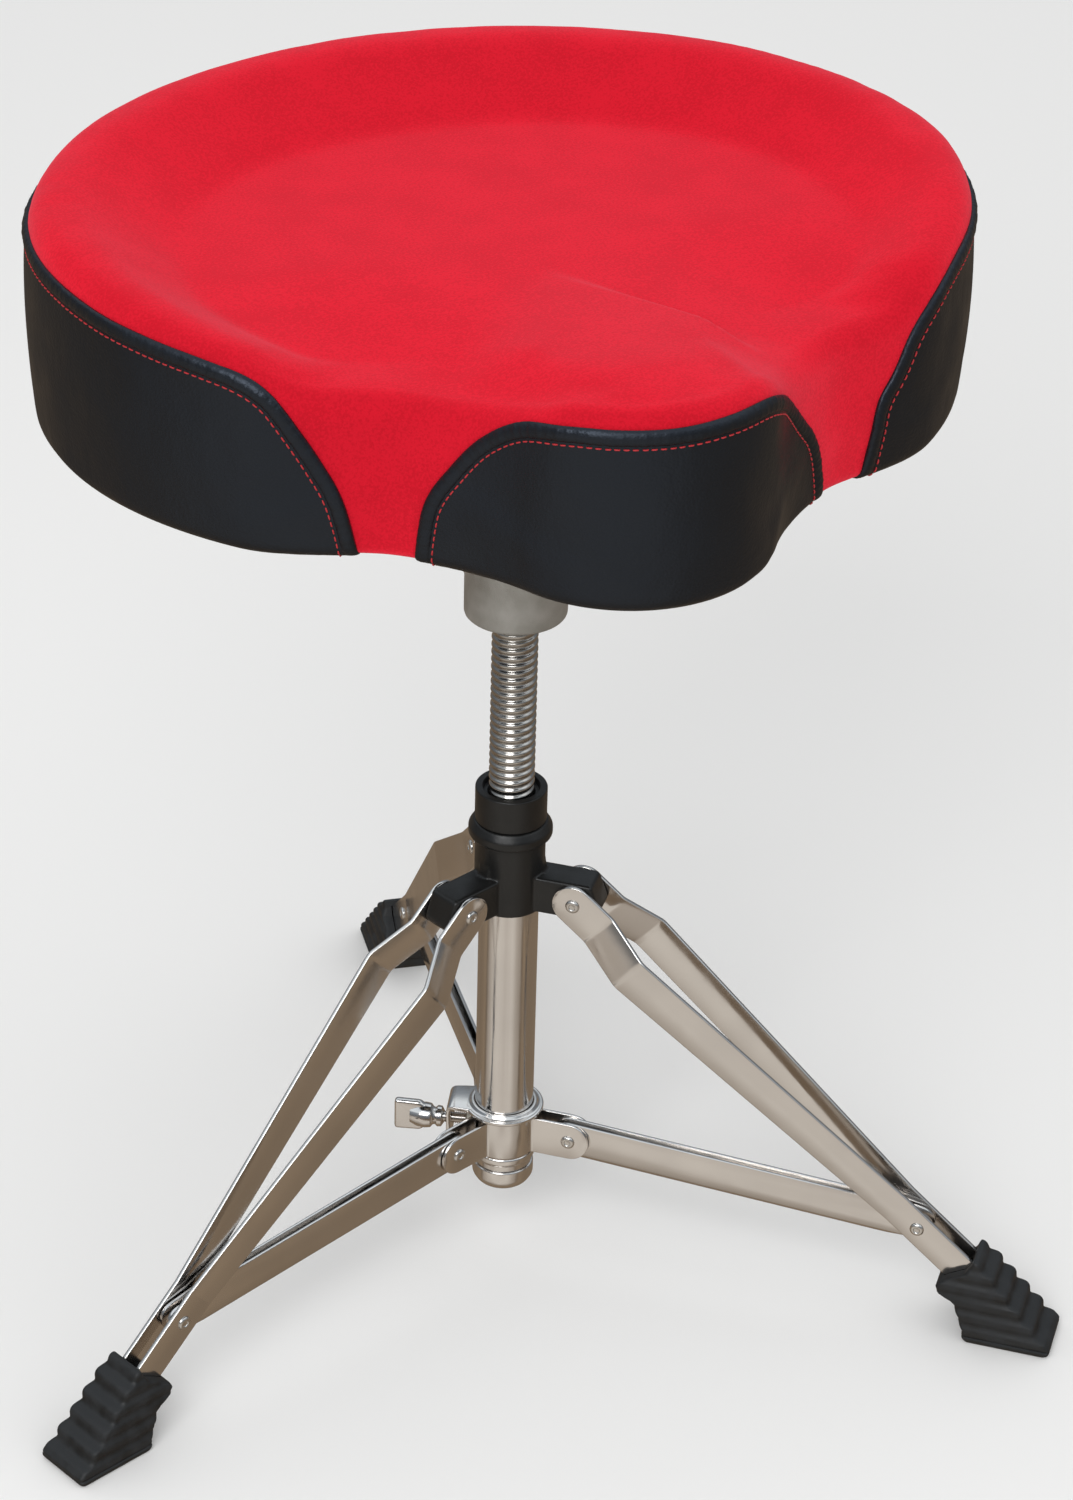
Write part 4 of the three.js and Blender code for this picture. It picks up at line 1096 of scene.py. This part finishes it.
def blown_up(cloth):
    """Runs the cloth under pressure for a few frames and returns where its points end."""
    settings = cloth.modifiers.new("cloth", "CLOTH").settings
    settings.quality = 5
    settings.mass = 0.3
    settings.vertex_group_mass = "held"
    settings.use_pressure = True
    settings.uniform_pressure_force = 4.0
    settings.effector_weights.gravity = 0.0
    cloth.modifiers["cloth"].collision_settings.use_collision = False
    for step in range(1, 21):
        bpy.context.scene.frame_set(step)
    return vertex_array(cloth.evaluated_get(bpy.context.evaluated_depsgraph_get()).data)


def find_swell(cushion):
    """Blows up a coarse copy of the cushion, pinned round the board, and keeps how each place moves."""
    cloth = placed("cushion_cloth", cushion.data.copy())
    cloth.data.transform(Matrix.Scale(MM, 4))
    remeshed(cloth, 0.006)
    applied(cloth)
    before = vertex_array(cloth.data)
    normals = vertex_array(cloth.data, "normal")
    held = before[:, 2] < (SEAT_BOTTOM + 15) * MM
    start = before - normals * np.where(held, 0, 0.003)[:, None]
    cloth.data.vertices.foreach_set("co", start.ravel())
    pins = cloth.vertex_groups.new(name="held")
    pins.add([int(i) for i in np.nonzero(held)[0]], 1.0, "REPLACE")
    moves = (blown_up(cloth) - before) / MM
    bulge = np.einsum("ij,ij->i", moves, normals)
    moves -= normals * np.where(held, 0, np.median(bulge[~held]))[:, None]
    lengths = np.linalg.norm(moves, axis=1)
    moves *= np.minimum(1, SWELL_CAP / np.maximum(lengths, 1e-9))[:, None]
    tree = KDTree(len(before))
    for i, place in enumerate(before / MM):
        tree.insert(Vector(place), i)
    tree.balance()
    bpy.data.objects.remove(cloth)
    bpy.context.scene.frame_set(1)
    SWELL[:] = [tree, moves]


def swollen(points):
    """Points of the seat moved as the blown-up cushion moves."""
    if not SWELL:
        return points
    tree, moves = SWELL
    out = []
    for point in points:
        near = tree.find_n(point, 14)
        weights = np.array([1 / (distance + 2.0) ** 2 for _, _, distance in near])
        move = weights @ moves[[i for _, i, _ in near]] / weights.sum()
        out.append(Vector(point) + Vector(move) * SWELL_SHARE)
    return out


def build_cushion():
    rows = cushion_rows()
    points = [p for row in rows for p in row]
    faces = ring_quads(len(rows), PLAN_POINTS)
    for first, z in ((0, rows[0][0].z), (len(points) - PLAN_POINTS, saddle_height(*CENTRE))):
        faces += [(first + k, first + (k + 1) % PLAN_POINTS, len(points)) for k in range(PLAN_POINTS)]
        points.append(Vector((*CENTRE, z)))
    cushion = outward(new_object("seat_cushion_fine", points, faces))
    find_swell(cushion)
    settled = np.array([tuple(p) for p in swollen(points)])
    cushion.data.vertices.foreach_set("co", settled.ravel())
    cushion.data.update()
    piece(cushion, VELOUR, "seat", "red_velour", "seat_cushion", smooth_angle=80)


# ---------------------------------------------------------------- vinyl panels, their hems and stitches

TUCK = -7.6
SHEET_ROWS = 34
HEM_HALF, HEM_PUFF = 3.3, 1.75
STITCH_INSET = 7.6


def rounded_line(knots, spacing=1.5):
    """An even run of points along a smooth curve through knots (Catmull-Rom)."""
    knots = [np.array(k, float) for k in knots]
    padded = [2 * knots[0] - knots[1], *knots, 2 * knots[-1] - knots[-2]]
    dense = []
    for a, b, c, d in zip(padded, padded[1:], padded[2:], padded[3:]):
        for k in range(24):
            t = k / 24
            bend = (2 * a - 5 * b + 4 * c - d) * t * t + (3 * b - a - 3 * c + d) * t**3
            dense.append(b + 0.5 * ((c - a) * t + bend))
    line = np.array([*dense, knots[-1]])
    marks = distances(line)
    return read_at(line, marks, np.linspace(0, marks[-1], int(marks[-1] / spacing) + 1))


def edge_curve(places):
    """A panel's upper edge as (distance round, way up the wall) points.

    The places are (distance round, height over the seat's bottom).
    """
    knots = [(u, rise_to(SEAT_BOTTOM + z, float(around(RIM, u)))) for u, z in places]
    return rounded_line([(places[0][0], TUCK), *knots, (places[-1][0] + 0.01, TUCK)])


def panel_sheet(node, curve):
    """A closed vinyl sheet over the wall below an edge curve."""
    u, s = curve[np.argsort(curve[:, 0])].T
    first, last = u[0] + 0.4, u[-1] - 0.4
    columns = []
    for at in np.linspace(first, last, int((last - first) / 2.5) + 1):
        ways = np.linspace(TUCK, np.interp(at, u, s), SHEET_ROWS + 1)
        face = [skin(at, way, 1.2) for way in ways]
        back = [skin(at, way, -1.0) for way in ways]
        columns.append(swollen(face + back[::-1]))
    piece(stacked(f"{node}_fine", columns), VINYL, "seat", "black_vinyl", node, smooth_angle=60)


def curve_frames(curve):
    """For each point of a curve on the wall: its place and the direction into the panel, both in (u, s)."""
    run = np.gradient(curve, axis=0)
    run /= np.linalg.norm(run, axis=1)[:, None]
    return list(zip(curve, np.stack([run[:, 1], -run[:, 0]], 1)))


def build_hem(node, curve):
    """The puffed band where a panel's edge is turned under, between its rim and its stitching."""
    turns = [math.radians(a) for a in range(0, 181, 15)]
    section = [(HEM_HALF * math.cos(a), HEM_PUFF * math.sin(a)) for a in turns]
    section += [(-HEM_HALF, -1.2), (HEM_HALF, -1.2)]
    rings = []
    for k, (at, into) in enumerate(curve_frames(curve)):
        pucker = 0.16 * math.sin(k * 2.1) + 0.1 * math.sin(k * 0.83)
        points = []
        for across, lift in section:
            u, s = at + into * (HEM_HALF - 0.2 + across)
            raised = lift + 0.7 + (pucker if lift > 0.3 else 0)
            if raised > 0:
                raised *= 0.3 + 0.7 * smooth((s + 3) / 18)
            points.append(skin(u, s, raised))
        rings.append(swollen(points))
    piece(stacked(f"{node}_hem", rings), VINYL, "seat", "black_vinyl", smooth_angle=70)


def build_stitches(node, curve, pitch=3.7, length=2.7, radius=0.38):
    """A run of red stitches beside the hem, each a small round-ended loop that dips in at both ends."""
    line = [at + into * STITCH_INSET for at, into in curve_frames(rounded_line(curve, 0.9))]
    line = np.array([p for p in line if p[1] > TUCK + 1])
    marks = distances(line)
    half = [(0.5, 0.15, -0.35), (0.42, 0.8, 0.05), (0.2, 1, 0.2)]  # share of the length, of the radius, lift
    shape = [(-share, width, lift) for share, width, lift in half] + half[::-1]
    shares = np.array([share for share, width, lift in shape])
    sides = 7
    chance = random.Random(5)
    points, faces = [], []
    for k in range(int(marks[-1] / pitch)):
        centre = (k + 0.5) * pitch + chance.uniform(-0.15, 0.15)
        spine = read_at(line, marks, centre + shares * length)
        spine[:, 1] += chance.uniform(-0.12, 0.12) * shares
        onward = (spine[-1] - spine[0]) * 0.3 / np.linalg.norm(spine[-1] - spine[0])
        faces += capped(len(shape), sides, len(points))
        for (share, width, lift), place in zip(shape, spine):
            here = skin(*place, 1.2 + lift)
            ahead = skin(*(place + onward), 1.2 + lift)
            up = (skin(*place, 2.2 + lift) - here).normalized()
            across = (ahead - here).cross(up).normalized()
            for j in range(sides):
                a = math.tau * j / sides
                points.append(here + (across * math.cos(a) + up * math.sin(a)) * radius * width)
    run = outward(new_object(f"{node}_stitches", swollen(points), faces))
    piece(run, THREAD, "seat", "black_vinyl", smooth_angle=60)


def build_panels():
    """Both panels from their upper edges, given as (x on the seat's front, height over its bottom)."""
    right = [(118, 0), (122.5, 32), (133, 50), (143.5, 67), (158, 78.5), (174, 84.5), (192, 87)]
    right.append((WIDEST - 0.3, 89))
    left = [(-112, 0), (-118, 26), (-127, 45), (-136, 60), (-146, 74), (-157, 81.5), (-170, 85), (-185, 87)]
    left += [(-198, 88.5), (0.3 - WIDEST, 91)]
    rear = [(distance_at_x(x), z) for x, z in right]
    rear += [(GIRTH / 2 - 170, 90.5), (GIRTH / 2, 91.5), (GIRTH / 2 + 170, 91.5)]
    rear += [(distance_at_x(x), z) for x, z in reversed(left)]
    front = [(-92, 0), (-88, 29), (-80, 48.5), (-70, 66), (-58, 78), (-44, 82.5), (-26, 83.3), (-3, 83.5)]
    front += [(21, 84), (40, 83.5), (51, 79.5), (61, 70), (73, 54), (83, 38), (91, 18), (97, 0)]
    nose = [(distance_at_x(x) - (GIRTH if x < 0 else 0), z) for x, z in front]
    for node, places in (("rear_panel", rear), ("nose_panel", nose)):
        curve = edge_curve(places)
        panel_sheet(node, curve)
        build_hem(node, curve)
        build_stitches(node, curve)


def build_underside():
    carried("dust_cover", DUST_CLOTH)
    carried("seat_board", PLYWOOD, 0.6)
    for k in range(1, 5):
        carried(f"mount_screw_{k}", PLATED, 0.4)
    carried("rod_guide", NYLON, 0.3)
    carried("guide_screw", PLATED, 0.3)


# ---------------------------------------------------------------- stage, light and camera

CAM_AZIMUTH, CAM_ELEVATION, CAM_ROLL = -17.88, 31.31, 0.25
CAM_ASIDE, CAM_HEIGHT, CAM_DISTANCE = -0.066, 0.2837, 1.933
CAM_LENS = 98.9
CAM_SHIFT_X, CAM_SHIFT_Y = 0.1046, 0.0147
LIGHT_AIM = Vector((0, 0, 0.4))
STUDIO = (0.83, 0.83, 0.83)
GROUND_STOPS = [
    (0.0, (0.22, 0.165, 0.115)),
    (0.36, (0.28, 0.21, 0.145)),
    (0.46, (0.17, 0.13, 0.095)),
    (0.54, (0.36, 0.31, 0.26)),
    (0.72, (0.47, 0.42, 0.365)),
    (0.86, (0.66, 0.61, 0.55)),
    (1.0, (0.50, 0.45, 0.40)),
]
SKY_STOPS = [
    (0.0, (0.30, 0.24, 0.19)),
    (0.44, (0.50, 0.46, 0.42)),
    (0.52, (0.16, 0.155, 0.15)),
    (0.62, (0.17, 0.185, 0.205)),
    (0.775, (0.25, 0.285, 0.325)),
    (0.83, (0.88, 0.95, 1.0)),
    (1.0, (0.66, 0.74, 0.84)),
]


def colour_ramp(tree, value, stops):
    ramp = add(tree, "ShaderNodeValToRGB", {0: value})
    while len(ramp.color_ramp.elements) < len(stops):
        ramp.color_ramp.elements.new(0.5)
    for element, (at, colour) in zip(ramp.color_ramp.elements, stops):
        element.position = at
        element.color = (*colour, 1)
    return ramp.outputs["Color"]


def build_world():
    """A pale, even studio. Bright metal sees a warm ground with a light patch, and a cool sky instead."""
    world = bpy.data.worlds.new("studio")
    bpy.context.scene.world = world
    world.use_nodes = True
    tree = world.node_tree
    tree.nodes.clear()
    place = add(tree, "ShaderNodeTexCoord").outputs["Generated"]
    z = add(tree, "ShaderNodeSeparateXYZ", {0: place}).outputs["Z"]
    wobble = noise(tree, place, 2.4, 3)
    facing = math.radians(CAM_AZIMUTH - 14)
    aim = {0: place, 1: (math.sin(facing), -math.cos(facing), -0.25)}
    lit_side = add(tree, "ShaderNodeVectorMath", aim, operation="DOT_PRODUCT").outputs["Value"]
    patch = ranged(tree, sums(tree, "MULTIPLY_ADD", wobble, 0.5, lit_side), 0, 1, 0.2, 1.3)
    height = ranged(tree, sums(tree, "MULTIPLY_ADD", wobble, 0.22, z), 0, 1, -0.9, 1.1)
    horizon = {0: z, 1: -0.12, 2: 0.02, 3: 0.0, 4: 1.0}
    above = add(tree, "ShaderNodeMapRange", horizon, interpolation_type="SMOOTHSTEP").outputs[0]
    ground, sky = colour_ramp(tree, patch, GROUND_STOPS), colour_ramp(tree, height, SKY_STOPS)
    seen = add(tree, "ShaderNodeMix", {0: above, 6: ground, 7: sky}, data_type="RGBA").outputs[2]
    studio = add(tree, "ShaderNodeBackground", {"Color": (*STUDIO, 1), "Strength": 1.0}).outputs[0]
    mirror = add(tree, "ShaderNodeBackground", {"Color": seen, "Strength": 1.0}).outputs[0]
    glossy = add(tree, "ShaderNodeLightPath").outputs["Is Glossy Ray"]
    mix = add(tree, "ShaderNodeMixShader", {0: glossy, 1: studio, 2: mirror}).outputs[0]
    add(tree, "ShaderNodeOutputWorld", {"Surface": mix})


def build_floor():
    half = 25.0
    corners = [(-half, -half, 0), (half, -half, 0), (half, half, 0), (-half, half, 0)]
    floor = new_object("floor", [AXIS + Vector(c) for c in corners], [(0, 1, 2, 3)])
    floor.data.materials.append(plain("floor_paper", (0.86, 0.86, 0.855), 0.9)[0])
    floor.visible_glossy = False


def area_light(name, place, size, power):
    data = bpy.data.lights.new(name, "AREA")
    data.size = size
    data.energy = power
    light = placed(name, data)
    light.location = AXIS + place
    light.rotation_mode = "QUATERNION"
    light.rotation_quaternion = (LIGHT_AIM - place).to_track_quat("-Z", "Y")


def build_camera():
    """The photograph is part of a wider picture, so the view's centre stands away from the lens's axis."""
    azimuth, elevation, roll = (math.radians(a) for a in (CAM_AZIMUTH, CAM_ELEVATION, CAM_ROLL))
    level = math.cos(elevation)
    back = Vector((math.sin(azimuth) * level, -math.cos(azimuth) * level, math.sin(elevation)))
    right = UP.cross(back).normalized()
    up = back.cross(right)
    turned_right = right * math.cos(roll) + up * math.sin(roll)
    turned_up = up * math.cos(roll) - right * math.sin(roll)
    data = bpy.data.cameras.new("camera")
    data.sensor_width = 36
    data.lens = CAM_LENS
    data.shift_x = CAM_SHIFT_X
    data.shift_y = CAM_SHIFT_Y
    data.clip_end = 50
    camera = placed("camera", data)
    camera.matrix_world = Matrix((turned_right, turned_up, back)).transposed().to_4x4()
    camera.location = AXIS + Vector((CAM_ASIDE, 0, CAM_HEIGHT)) + back * CAM_DISTANCE
    bpy.context.scene.camera = camera


build_tube()
build_end_cap()
build_hub()
build_nut()
build_rod()
for leg in LEGS:
    build_leg(leg)
    build_brace(leg)
    build_foot(leg)
    build_strap(leg)
build_collar_plate()
build_wing_screw()
build_mount()
build_cushion()
build_panels()
build_underside()

build_world()
build_floor()
area_light("key", Vector((-1.45, -1.85, 2.2)), 1.6, 36)
area_light("fill", Vector((2.0, -1.0, 1.8)), 2.0, 4)
build_camera()
bpy.context.scene.view_settings.view_transform = "Standard"
